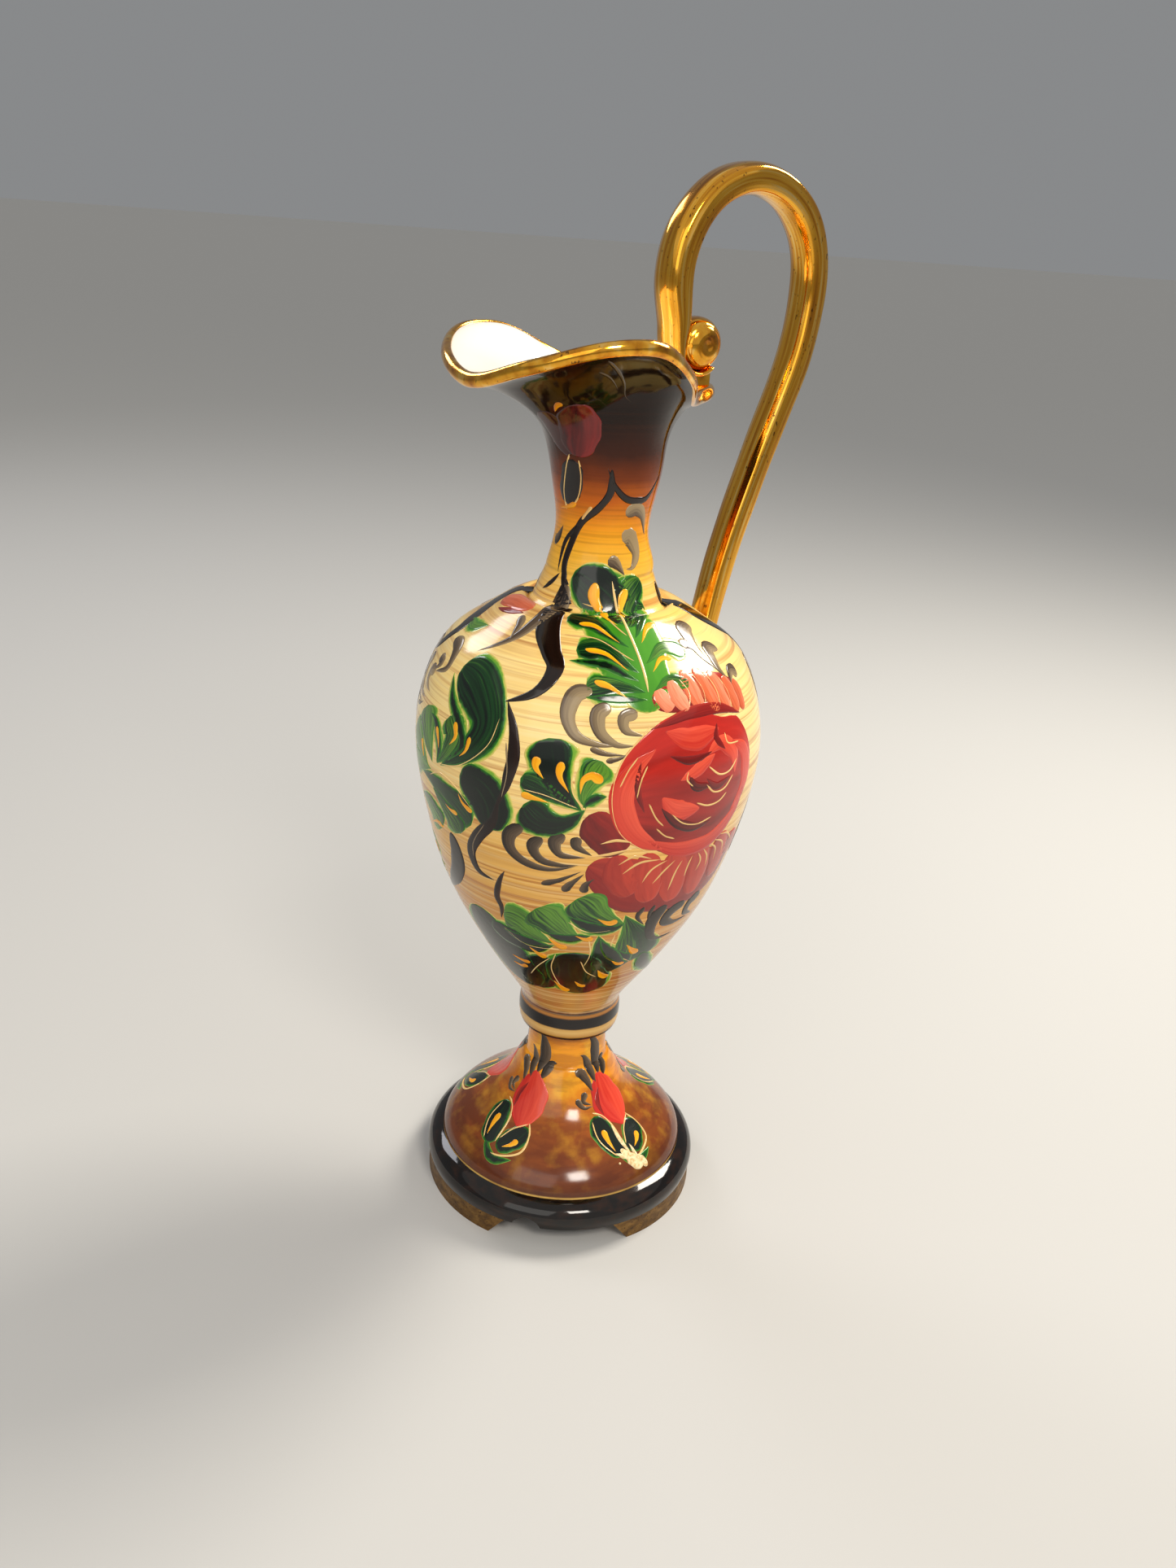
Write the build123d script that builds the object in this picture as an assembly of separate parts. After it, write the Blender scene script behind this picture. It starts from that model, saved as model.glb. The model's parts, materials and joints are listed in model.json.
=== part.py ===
from build123d import *
import os
from math import cos, radians, sin

# Hand-painted pouring jug (ewer) on a three-footed pedestal, all lengths in millimetres.
# The thrown body's axis is +Z and the origin is where it meets the table.
# The spout points to -X and the looped handle stands on the +X side.
# Each section is thrown or rolled by itself and luted to the next, face to face.

# -- Foot: three bracket feet under a rounded plinth ring -------------------------------------
FEET = 3
FOOT_BEARING = 174.0        # bearing of the first foot, counted from the handle side
FOOT_HEIGHT = 8.5
FOOT_SPREAD_TOP = 74.0      # angle that a foot fills against the plinth
FOOT_SPREAD_SOLE = 60.0     # angle left at the table, because the ends slope in
PLINTH_RADIUS = 56.5
PLINTH_HEIGHT = 10.3
PLINTH_BORE = 43.0
PLINTH_LEAN = 0.6           # how much the lower edge tucks in under the widest line
PLINTH_WIDEST = 0.35        # share of the plinth's height where it is widest
PLINTH_ENDS = ((0.25, 1), (-1, 0.28))   # directions of its rounded side, at the foot and the top
ARCH_RISE = 4.5             # little arch cut beside each foot
ARCH_HALF_WIDTH = 5.8
ARCH_BEARING = 46.5         # from the middle of the foot to the middle of its arch

# -- Pedestal: bell-shaped, hollow, open below -------------------------------------------------
PEDESTAL_FOOT_RADIUS = 50.2
PEDESTAL_NECK_RADIUS = 15.2
PEDESTAL_HEIGHT = 54.3
PEDESTAL_WALL = 4.2
REBATE_DEPTH = 2.0          # lip of the pedestal that drops inside the plinth
REBATE_WIDTH = 3.0
BORE_RUN = 3.0              # straight bore left under the collar's spigot
# Outer line: share of the way out from neck to foot, and share of the height.
PEDESTAL_LINE = ((1.0, 0.0), (0.93, 0.12), (0.62, 0.285), (0.25, 0.505), (0.075, 0.70), (0.0, 1.0))
PEDESTAL_ENDS = ((0.05, 1), (-0.08, 1))
PEDESTAL_WALLED = (0.06, 0.25, 0.45, 0.6)   # where along that line the wall is measured
PEDESTAL_HOLLOW_ENDS = ((-0.1, 1), (0, 1))

# -- Collar: solid moulded disc that joins pedestal and body ----------------------------------
COLLAR_EDGE_RADIUS = 19.6
COLLAR_RADIUS = 20.6
COLLAR_HEIGHT = 11.4
COLLAR_ENDS = ((0.5, 1), (-0.3, 1))
SPIGOT_CLEARANCE = 0.15
LOWER_SPIGOT_LENGTH = 6.0
UPPER_SPIGOT_RADIUS = 12.0
UPPER_SPIGOT_LENGTH = 2.5

# -- Body: egg-shaped, widest high up ----------------------------------------------------------
BODY_FOOT_RADIUS = 20.0
BODY_RADIUS = 64.7
BODY_HEIGHT = 177.5
BODY_FLOOR = 7.0            # thickness of clay over the collar
BODY_WALL = 4.0
# Outer line up to the shoulder: share of the way out from foot to belly, and share of the height.
BODY_SWELL = (
    (0.0, 0.0), (0.05, 0.034), (0.25, 0.11), (0.47, 0.20), (0.70, 0.3125), (0.85, 0.425),
    (0.955, 0.538), (1.0, 0.645), (0.92, 0.763), (0.755, 0.844),
)
# And on to the neck: share of the way out from neck to belly, and share of the height.
BODY_SHOULDER = ((0.50, 0.894), (0.16, 0.939), (0.0, 1.0))
BODY_ENDS = ((0.05, 1), (-0.35, 1))
BODY_WALLED = (0.12, 0.2, 0.3, 0.42, 0.54, 0.64, 0.73, 0.81, 0.88, 0.93, 0.97)
BODY_HOLLOW_ENDS = ((1, 0), (-0.35, 1))

# -- Neck and mouth: round below, drawn out into a spout and pinched at the back -------------
NECK_ROOT_RADIUS = 19.3
NECK_WAIST_RADIUS = 17.2
NECK_WALL = 4.0
RIM_DEPTH = 3.0             # height of the gilded bead over its seat
RIM_SWELL = 0.5             # how far the bead stands proud of the wall on each side
# Bead's section between its two edges: shares of its half width and of its depth.
RIM_BEAD = ((-1.0, 0.32), (-0.62, 0.84), (0.0, 1.0), (0.62, 0.84), (1.0, 0.32))

# -- Handle: a strap that loops over the mouth and rolls up into a volute --------------------
HANDLE_RISE = 136.8         # top of the loop over the neck's root
HANDLE_LOOP_RADIUS = 32.3   # centre line of the loop
HANDLE_LOOP_OFFSET = 20.4   # from the volute's axis out to the middle of the loop
HANDLE_LANDING = 0.779      # share of the body's outer line where the strap comes down
HANDLE_TOP_WIDTH = 13.4
HANDLE_TOP_DEPTH = 11.4
HANDLE_FOOT_WIDTH = 11.0
HANDLE_FOOT_DEPTH = 9.0
HANDLE_LEAN = 2.2           # drift of the strap towards the roll where they meet
HANDLE_FLAT = 0.92          # the inner side of the strap is pressed flatter than the outer
HANDLE_FULLNESS = 2.6       # 2 is an oval section, and more is squarer
LOOP_BEARINGS = (180, 150, 120, 90, 60, 30, 0)
# Leg of the strap: shares of the way out and of the drop, from the loop to the landing.
HANDLE_LEG = (
    (0.063, 0.20), (0.305, 0.379), (0.559, 0.569), (0.767, 0.734), (0.905, 0.879), (1.02, 1.03),
)
VOLUTE_RADIUS = 8.9
VOLUTE_BAND = 1.6           # strap left under the roll
VOLUTE_INSET = 7.0          # from the tip of the back tab in to the volute's axis
VOLUTE_RISE = 16.0          # from the tab up to the volute's axis
VOLUTE_DOME = 1.5           # bulge of each end face of the roll
VOLUTE_DOME_MARGIN = 1.1    # flat edge left round each bulge
# Back of the band round the roll: bearing, and share of the band's radius.
VOLUTE_BACK = ((190, 1.16), (225, 1.06), (270, 1.0))
VOLUTE_TAPER = 310          # bearing where the band has thinned to half
VOLUTE_TIP = 350            # bearing where the band ends on the roll
VOLUTE_TOP = 60
VOLUTE_SEAT = 120           # bearing where the roll meets the strap's inner side
VOLUTE_TIP_DIRECTION = (0.17, 0, 1)
PAD_WIDTH = 10.0            # lump of clay that beds the volute on the back tab
PAD_SETBACK = 2.6           # from the tip of the tab in to the lump
PAD_TOE = 0.5               # share of the roll's radius that the lump reaches past its axis

# -- Heights that follow from the sections ------------------------------------------------------
PLINTH_TOP = FOOT_HEIGHT + PLINTH_HEIGHT
COLLAR_BASE = PLINTH_TOP + PEDESTAL_HEIGHT
BODY_BASE = COLLAR_BASE + COLLAR_HEIGHT
NECK_BASE = BODY_BASE + BODY_HEIGHT

TURN = 360.0
RING_POINTS = 36            # points on each ring of the neck
STRAP_STEPS = 22            # sections along the handle
STRAP_CORNERS = 12          # points on each section of the strap


def section(*lines):
    """Close the given lines into a face of the X-Z half plane."""
    return Plane.XZ * make_face(Curve() + list(lines))


def turned(*lines):
    """Turn a closed outline round the axis."""
    return revolve(section(*lines), Axis.Z)


def inset(curve, depth, stations):
    """Points set in from a curve, square to it, on the side nearer the axis."""
    points = []
    for station in stations:
        along = curve.tangent_at(station)
        points.append(curve.position_at(station) + Vector(-along.Y, along.X) * depth)
    return points


def foot(bearing):
    """One bracket foot: a ring segment whose two ends slope in towards the table."""
    outlines = []
    for height, spread in ((0, FOOT_SPREAD_SOLE), (FOOT_HEIGHT, FOOT_SPREAD_TOP)):
        start, size = bearing - spread / 2, spread
        outer = CenterArc((0, 0), PLINTH_RADIUS - PLINTH_LEAN, start, size)
        inner = CenterArc((0, 0), PLINTH_BORE, start, size)
        ends = [Line(outer @ 0, inner @ 0), Line(outer @ 1, inner @ 1)]
        outlines.append(Plane.XY.offset(height) * make_face(Curve() + [outer, inner, *ends]))
    return loft(outlines, ruled=True)


def plinth():
    """Rounded ring with a rebate for the pedestal and one small arch beside each foot."""
    low = (PLINTH_RADIUS - PLINTH_LEAN, FOOT_HEIGHT)
    wide = (PLINTH_RADIUS, FOOT_HEIGHT + PLINTH_WIDEST * PLINTH_HEIGHT)
    top = (PEDESTAL_FOOT_RADIUS, PLINTH_TOP)
    rebate_wall = PEDESTAL_FOOT_RADIUS - PEDESTAL_WALL + REBATE_WIDTH / 2
    rebate_floor = PLINTH_TOP - REBATE_DEPTH
    side = Spline(low, wide, top, tangents=PLINTH_ENDS)
    ledge = Polyline(
        top, (rebate_wall, PLINTH_TOP), (rebate_wall, rebate_floor), (PLINTH_BORE, rebate_floor),
        (PLINTH_BORE, FOOT_HEIGHT), low,
    )
    ring = turned(side, ledge)
    arch_radius = (ARCH_HALF_WIDTH**2 + ARCH_RISE**2) / (2 * ARCH_RISE)
    arch_axis = FOOT_HEIGHT + ARCH_RISE - arch_radius
    for bearing in foot_bearings():
        place = Rot(0, 0, bearing + ARCH_BEARING) * Pos(PLINTH_RADIUS, 0, arch_axis) * Rot(0, 90, 0)
        ring -= place * Cylinder(arch_radius, 2 * (PLINTH_RADIUS - PLINTH_BORE) + PLINTH_LEAN)
    return ring


def foot_bearings():
    """Bearings of the feet, evenly spaced."""
    return [FOOT_BEARING + TURN * number / FEET for number in range(FEET)]


def pedestal_side():
    """Outer line of the pedestal, from its foot up to the collar."""
    reach = PEDESTAL_FOOT_RADIUS - PEDESTAL_NECK_RADIUS
    points = [
        (PEDESTAL_NECK_RADIUS + reach * out, PLINTH_TOP + PEDESTAL_HEIGHT * up)
        for out, up in PEDESTAL_LINE
    ]
    return Spline(*points, tangents=PEDESTAL_ENDS)


def pedestal():
    """Hollow bell with a lip that drops into the plinth's rebate."""
    side = pedestal_side()
    bore = pedestal_bore()
    bore_foot = COLLAR_BASE - LOWER_SPIGOT_LENGTH - BORE_RUN
    hollow = Spline(
        *inset(side, PEDESTAL_WALL, PEDESTAL_WALLED), (bore, bore_foot), tangents=PEDESTAL_HOLLOW_ENDS,
    )
    mouth = PEDESTAL_FOOT_RADIUS - PEDESTAL_WALL
    lip_outer = mouth + REBATE_WIDTH / 2 - SPIGOT_CLEARANCE
    lip_inner = mouth - REBATE_WIDTH / 2
    lip_floor = PLINTH_TOP - REBATE_DEPTH + SPIGOT_CLEARANCE
    lip = Polyline(
        hollow @ 0, (lip_inner, PLINTH_TOP), (lip_inner, lip_floor), (lip_outer, lip_floor),
        (lip_outer, PLINTH_TOP), side @ 0,
    )
    top = Polyline(side @ 1, (bore, COLLAR_BASE), hollow @ 1)
    return turned(side, top, hollow, lip)


def collar():
    """Solid moulding with a spigot each way, into the pedestal and into the body."""
    lower_spigot = pedestal_bore() - SPIGOT_CLEARANCE
    upper_spigot = UPPER_SPIGOT_RADIUS - SPIGOT_CLEARANCE
    low, top = (COLLAR_EDGE_RADIUS, COLLAR_BASE), (BODY_FOOT_RADIUS, BODY_BASE)
    edge = Spline(low, (COLLAR_RADIUS, COLLAR_BASE + COLLAR_HEIGHT / 2), top, tangents=COLLAR_ENDS)
    core = Polyline(
        top, (upper_spigot, BODY_BASE), (upper_spigot, BODY_BASE + UPPER_SPIGOT_LENGTH),
        (0, BODY_BASE + UPPER_SPIGOT_LENGTH), (0, COLLAR_BASE - LOWER_SPIGOT_LENGTH),
        (lower_spigot, COLLAR_BASE - LOWER_SPIGOT_LENGTH), (lower_spigot, COLLAR_BASE), low,
    )
    return turned(edge, core)


def pedestal_bore():
    """Radius of the straight bore next to the collar."""
    return PEDESTAL_NECK_RADIUS - PEDESTAL_WALL


def body_side():
    """Outer line of the body, from the collar up to the neck."""
    reach = BODY_RADIUS - BODY_FOOT_RADIUS
    drop = BODY_RADIUS - NECK_ROOT_RADIUS
    points = [(BODY_FOOT_RADIUS + reach * out, BODY_BASE + BODY_HEIGHT * up) for out, up in BODY_SWELL]
    points += [
        (NECK_ROOT_RADIUS + drop * out, BODY_BASE + BODY_HEIGHT * up) for out, up in BODY_SHOULDER
    ]
    return Spline(*points, tangents=BODY_ENDS)


def body_profile(filled):
    """Body as thrown, or filled with clay to cut what is luted on to it."""
    side = body_side()
    top_inside = (NECK_ROOT_RADIUS - NECK_WALL, NECK_BASE)
    if filled:
        return turned(side, Polyline(side @ 1, (0, NECK_BASE), (0, BODY_BASE), side @ 0))
    floor = (0, BODY_BASE + BODY_FLOOR)
    wall = inset(side, BODY_WALL, BODY_WALLED)
    hollow = Spline(floor, *wall, top_inside, tangents=BODY_HOLLOW_ENDS)
    socket_top = BODY_BASE + UPPER_SPIGOT_LENGTH
    foot_line = Polyline(
        floor, (0, socket_top), (UPPER_SPIGOT_RADIUS, socket_top), (UPPER_SPIGOT_RADIUS, BODY_BASE),
        side @ 0,
    )
    return turned(side, Line(side @ 1, top_inside), hollow, foot_line)


# Mouth line: bearing from the spout, reach from the axis and height over the neck's root.
# The two sides of the mouth are alike.
MOUTH_LINE = (
    (0, 55.4, 65.3), (25, 55.4, 71.0), (50, 53.3, 77.6), (70, 47.0, 77.6), (90, 38.0, 70.2),
    (115, 29.0, 62.8), (140, 26.5, 59.0), (160, 31.5, 59.0), (180, 42.4, 60.5),
)
MOUTH_LEAN = 0.03           # slope of the whole mouth line, rising towards -Y
# Rings of the round part of the neck: radius and height over the neck's root.
NECK_FLARE_RADIUS = NECK_WAIST_RADIUS + 2.2
NECK_RINGS = (
    (NECK_ROOT_RADIUS, 0.0), (NECK_WAIST_RADIUS, 9.5), (NECK_WAIST_RADIUS, 22.0),
    (NECK_FLARE_RADIUS, 34.0),
)
FLARE_STEPS = (0.3, 0.55, 0.78, 1.0)
FLARE_OUT = 1.7             # the flare starts steep
FLARE_UP = 1.6              # and ends nearly level


def mouth_point(bearing):
    """Reach and height of the mouth line at a bearing from the spout."""
    lean = MOUTH_LEAN * sin(radians(bearing))
    bearing = abs((bearing + TURN / 2) % TURN - TURN / 2)
    keys = [(-MOUTH_LINE[1][0], *MOUTH_LINE[1][1:]), *MOUTH_LINE]
    keys.append((TURN - MOUTH_LINE[-2][0], *MOUTH_LINE[-2][1:]))
    index = max(number for number in range(1, len(keys) - 2) if keys[number][0] <= bearing)
    before, start, end, after = keys[index - 1:index + 3]
    span = end[0] - start[0]
    share = (bearing - start[0]) / span
    values = []
    for axis in (1, 2):
        slope_in = (end[axis] - before[axis]) / (end[0] - before[0]) * span
        slope_out = (after[axis] - start[axis]) / (after[0] - start[0]) * span
        rise = end[axis] - start[axis]
        cubic = slope_in + slope_out - 2 * rise
        square = 3 * rise - 2 * slope_in - slope_out
        values.append(start[axis] + share * (slope_in + share * (square + share * cubic)))
    reach, rise = values
    return reach, NECK_BASE + rise + lean * reach


def neck_line(bearing):
    """Middle of the neck's wall at one bearing, from its root to the rim's seat."""
    reach, height = mouth_point(bearing)
    points = [(radius - NECK_WALL / 2, NECK_BASE + rise) for radius, rise in NECK_RINGS]
    base_radius, base_height = points[-1]
    for step in FLARE_STEPS:
        points.append((
            base_radius + (reach - base_radius) * step**FLARE_OUT,
            base_height + (height - base_height) * (1 - (1 - step) ** FLARE_UP),
        ))
    return points


def wall_frame(bearing, level):
    """Point on the middle of the wall, with the directions along and through it."""
    line = neck_line(bearing)
    if level == 0:
        return Vector(*line[0]), Vector(0, 1), Vector(-1, 0)
    before = Vector(*line[level - 1])
    after = Vector(*line[min(level + 1, len(line) - 1)])
    along = (after - before).normalized()
    return Vector(*line[level]), along, Vector(-along.Y, along.X)


def ring(level, through, above=0.0):
    """Closed ring at a level of the neck, set off through the wall and above the level."""
    points = []
    for number in range(RING_POINTS):
        bearing = TURN * number / RING_POINTS
        point, along, inward = wall_frame(bearing, level)
        spot = point + inward * through + along * above
        points.append((-spot.X * cos(radians(bearing)), -spot.X * sin(radians(bearing)), spot.Y))
    return Wire([Edge.make_spline(points, periodic=True)])


def closed_solid(*skins):
    """Sew lofted skins into one solid."""
    faces = [face for skin in skins for face in skin.faces()]
    return Part() + Solid(Shell(Face.sew_faces(faces)[0]))


def neck():
    """Hollow neck that flares into the pouring mouth."""
    half = NECK_WALL / 2
    levels = range(len(NECK_RINGS) + len(FLARE_STEPS))
    outside = [ring(level, -half) for level in levels]
    inside = [ring(level, half) for level in levels]
    root = Face(outside[0], [inside[0]])
    seat = Shell.make_loft([outside[-1], inside[-1]], ruled=True)
    return closed_solid(Shell.make_loft(outside), Shell.make_loft(inside), seat, root)


def mouth_rim():
    """Rolled bead that sits on the upper edge of the neck all the way round."""
    half, top = NECK_WALL / 2, len(NECK_RINGS) + len(FLARE_STEPS) - 1
    wide = half + RIM_SWELL
    bead = [(-half, 0), *((wide * across, RIM_DEPTH * up) for across, up in RIM_BEAD), (half, 0)]
    rings = [ring(top, through, above) for through, above in bead]
    seat = Shell.make_loft([rings[0], rings[-1]], ruled=True)
    return closed_solid(Shell.make_loft(rings), seat)


def volute_centre():
    """Middle of the roll, over the back tab of the mouth."""
    reach, height = mouth_point(TURN / 2)
    return Vector(reach - VOLUTE_INSET, height + VOLUTE_RISE)


def handle_route():
    """Centre line of the strap, from the volute over the loop down into the shoulder."""
    roll = volute_centre()
    middle = Vector(
        roll.X + HANDLE_LOOP_OFFSET,
        NECK_BASE + HANDLE_RISE - HANDLE_TOP_DEPTH / 2 - HANDLE_LOOP_RADIUS,
    )
    loop = [
        middle + Vector(cos(radians(angle)), sin(radians(angle))) * HANDLE_LOOP_RADIUS
        for angle in LOOP_BEARINGS
    ]
    start = Vector(loop[0].X + HANDLE_LEAN, roll.Y + VOLUTE_RADIUS)
    landing = body_side().position_at(HANDLE_LANDING)
    drop = landing - loop[-1]
    leg = [Vector(loop[-1].X + drop.X * out, loop[-1].Y + drop.Y * down) for out, down in HANDLE_LEG]
    return Plane.XZ * Spline(start, *loop, *leg)


def strap_section(route, share):
    """Cross-section of the strap at a share of its length, rounder outside than inside."""
    plane = Plane(route.position_at(share), x_dir=(0, 1, 0), z_dir=route.tangent_at(share))
    half_width = (HANDLE_TOP_WIDTH + (HANDLE_FOOT_WIDTH - HANDLE_TOP_WIDTH) * share) / 2
    half_depth = (HANDLE_TOP_DEPTH + (HANDLE_FOOT_DEPTH - HANDLE_TOP_DEPTH) * share) / 2
    points = []
    for corner in range(STRAP_CORNERS):
        angle = radians(TURN * corner / STRAP_CORNERS)
        across, out = cos(angle), sin(angle)
        side = 1 if out > 0 else HANDLE_FLAT
        reach = abs(across) ** HANDLE_FULLNESS + abs(out) ** HANDLE_FULLNESS
        fuller = reach ** (-1 / HANDLE_FULLNESS)
        spot = (half_width * across * fuller, half_depth * side * out * fuller)
        points.append(plane.from_local_coords(spot))
    return Wire([Edge.make_spline(points, periodic=True)])


def handle(body_solid):
    """Tapered strap, cut to sit on the shoulder of the body."""
    route = handle_route()
    shares = [step / STRAP_STEPS for step in range(STRAP_STEPS + 1)]
    strap = Solid.make_loft([strap_section(route, share) for share in shares])
    return Part() + strap - body_solid


def volute():
    """Rolled end of the strap: a comma in side view, with a bulge in each end face."""
    route = handle_route()
    end, along = route @ 0, route % 0
    outward = Vector(-along.Z, 0, along.X) * (HANDLE_TOP_DEPTH / 2)
    outer, inner = end + outward, end - outward * HANDLE_FLAT
    middle = volute_centre()

    def about(angle, reach):
        return Vector(middle.X + reach * cos(radians(angle)), 0, middle.Y + reach * sin(radians(angle)))

    band = VOLUTE_RADIUS + VOLUTE_BAND
    tip, seat = about(VOLUTE_TIP, VOLUTE_RADIUS), about(VOLUTE_SEAT, VOLUTE_RADIUS)
    back = Spline(
        outer, *(about(angle, share * band) for angle, share in VOLUTE_BACK),
        about(VOLUTE_TAPER, VOLUTE_RADIUS + VOLUTE_BAND / 2), tip,
        tangents=[-along, VOLUTE_TIP_DIRECTION],
    )
    roll = ThreePointArc(tip, about(VOLUTE_TOP, VOLUTE_RADIUS), seat)
    side = make_face(Curve() + [back, roll, Line(seat, inner), Line(inner, outer)])
    comma = extrude(side, HANDLE_TOP_WIDTH / 2, dir=(0, 1, 0), both=True)
    reach = VOLUTE_RADIUS - VOLUTE_DOME_MARGIN
    dome_radius = (reach**2 + VOLUTE_DOME**2) / (2 * VOLUTE_DOME)
    for way in (-1, 1):
        face_y = way * HANDLE_TOP_WIDTH / 2
        ball = Pos(middle.X, face_y + way * (VOLUTE_DOME - dome_radius), middle.Y) * Sphere(dome_radius)
        core = Pos(middle.X, face_y, middle.Y) * Rot(90, 0, 0) * Cylinder(reach, 4 * VOLUTE_DOME)
        comma += ball & core
    return comma


def saddle_pad(*neighbours):
    """Lump of clay between the volute and the hollow of the back tab, cut to fit both."""
    *_, heel, bend, edge = neck_line(TURN / 2)
    middle = volute_centre()
    tip = Vector(edge[0] - PAD_SETBACK, edge[1])
    outline = Polyline(
        heel, bend, tip, (tip.X, tip.Y + PAD_SETBACK), (middle.X + PAD_TOE * VOLUTE_RADIUS, middle.Y),
        (middle.X - VOLUTE_RADIUS, middle.Y), (heel[0], heel[1] + 2 * NECK_WALL), heel,
    )
    lump = extrude(Plane.XZ * make_face(outline), PAD_WIDTH / 2, both=True)
    for neighbour in neighbours:
        lump -= neighbour
    return Part() + max(lump.solids(), key=lambda solid: solid.volume)


parts = {f"foot_{number + 1}": foot(bearing) for number, bearing in enumerate(foot_bearings())}
parts["plinth"] = plinth()
parts["pedestal"] = pedestal()
parts["collar"] = collar()
parts["body"] = body_profile(filled=False)
parts["neck"] = neck()
parts["mouth_rim"] = mouth_rim()
parts["handle"] = handle(body_profile(filled=True))
parts["volute"] = volute()
parts["saddle_pad"] = saddle_pad(parts["neck"], parts["mouth_rim"], parts["volute"])

os.makedirs("parts", exist_ok=True)
for name, shape in parts.items():
    shape.label = name
    export_step(shape, f"parts/{name}.step")
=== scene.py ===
"""Hand-painted, gilded pouring jug: glazes, lustre and enamel painting over the fired clay."""

import json
import logging
import math
from dataclasses import dataclass, field, replace
from enum import Enum
from typing import Any, Iterable

import bmesh
import bpy
import numpy as np
from mathutils import Matrix, Vector
from mathutils.bvhtree import BVHTree

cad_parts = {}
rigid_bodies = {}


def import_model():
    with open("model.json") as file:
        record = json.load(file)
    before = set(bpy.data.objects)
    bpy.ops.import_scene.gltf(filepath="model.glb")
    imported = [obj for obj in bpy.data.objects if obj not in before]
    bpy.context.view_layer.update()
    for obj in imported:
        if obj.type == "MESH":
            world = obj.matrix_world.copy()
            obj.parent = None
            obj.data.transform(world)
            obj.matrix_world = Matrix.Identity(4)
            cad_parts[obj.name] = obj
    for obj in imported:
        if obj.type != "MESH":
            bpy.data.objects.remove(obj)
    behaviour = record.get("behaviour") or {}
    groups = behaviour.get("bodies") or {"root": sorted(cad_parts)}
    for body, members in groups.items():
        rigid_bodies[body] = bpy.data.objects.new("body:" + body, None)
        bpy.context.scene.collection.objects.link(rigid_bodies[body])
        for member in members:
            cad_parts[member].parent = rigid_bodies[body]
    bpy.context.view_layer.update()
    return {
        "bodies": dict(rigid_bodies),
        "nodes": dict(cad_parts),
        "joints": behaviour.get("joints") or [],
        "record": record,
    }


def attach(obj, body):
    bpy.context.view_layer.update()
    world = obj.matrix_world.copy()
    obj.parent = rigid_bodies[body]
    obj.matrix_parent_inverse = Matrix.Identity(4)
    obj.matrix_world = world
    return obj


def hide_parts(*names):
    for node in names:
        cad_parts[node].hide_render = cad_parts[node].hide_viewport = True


LOG = logging.getLogger("jug")
MM = 0.001
Spot = tuple[float, float]


def linear(code: str) -> tuple[float, float, float, float]:
    """Turn an sRGB hex colour to linear.

    Args:
        code: six hex digits, such as "F3E2B0".

    Returns:
        Red, green, blue and alpha, linear.
    """
    shares = [int(code[at:at + 2], 16) / 255 for at in (0, 2, 4)]
    return (*(s / 12.92 if s <= 0.04045 else ((s + 0.055) / 1.055) ** 2.4 for s in shares), 1.0)


def per_metre(*grain_mm: float) -> Vector:
    """Features to a metre along each axis, from the size of one in millimetres."""
    return Vector([1 / (size * MM) for size in grain_mm])


def add_node(
    tree: bpy.types.NodeTree,
    kind: str,
    feeds: dict[str | int, Any] | None = None,
    stops: Iterable[tuple[float, str]] = (),
    **settings: Any,
) -> bpy.types.Node:
    """Add a node with its settings, its links and, for a colour ramp, its stops.

    Args:
        tree: the node tree it goes in.
        kind: the node's type.
        feeds: what goes in to each input: another node's output, a hex colour or a plain value.
        stops: places and hex colours of a colour ramp.
        settings: the node's own settings.

    Returns:
        The new node.
    """
    node = tree.nodes.new(kind)
    for name, value in settings.items():
        setattr(node, name, value)
    for name, value in (feeds or {}).items():
        socket = node.inputs[name]
        if isinstance(value, bpy.types.NodeSocket):
            tree.links.new(value, socket)
        elif socket.type == "RGBA":
            socket.default_value = linear(value)
        else:
            socket.default_value = value
    for number, (place, code) in enumerate(stops):
        elements = node.color_ramp.elements
        element = elements[number] if number < len(elements) else elements.new(place)
        element.position, element.color = place, linear(code)
    return node


def placed(name: str, data: bpy.types.ID) -> bpy.types.Object:
    """Put a new object in the scene.

    Args:
        name: what it is called.
        data: its mesh, light or camera.

    Returns:
        The object, at the origin.
    """
    made = bpy.data.objects.new(name, data)
    bpy.context.scene.collection.objects.link(made)
    return made


# -- Finishes -------------------------------------------------------------------------------------


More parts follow.
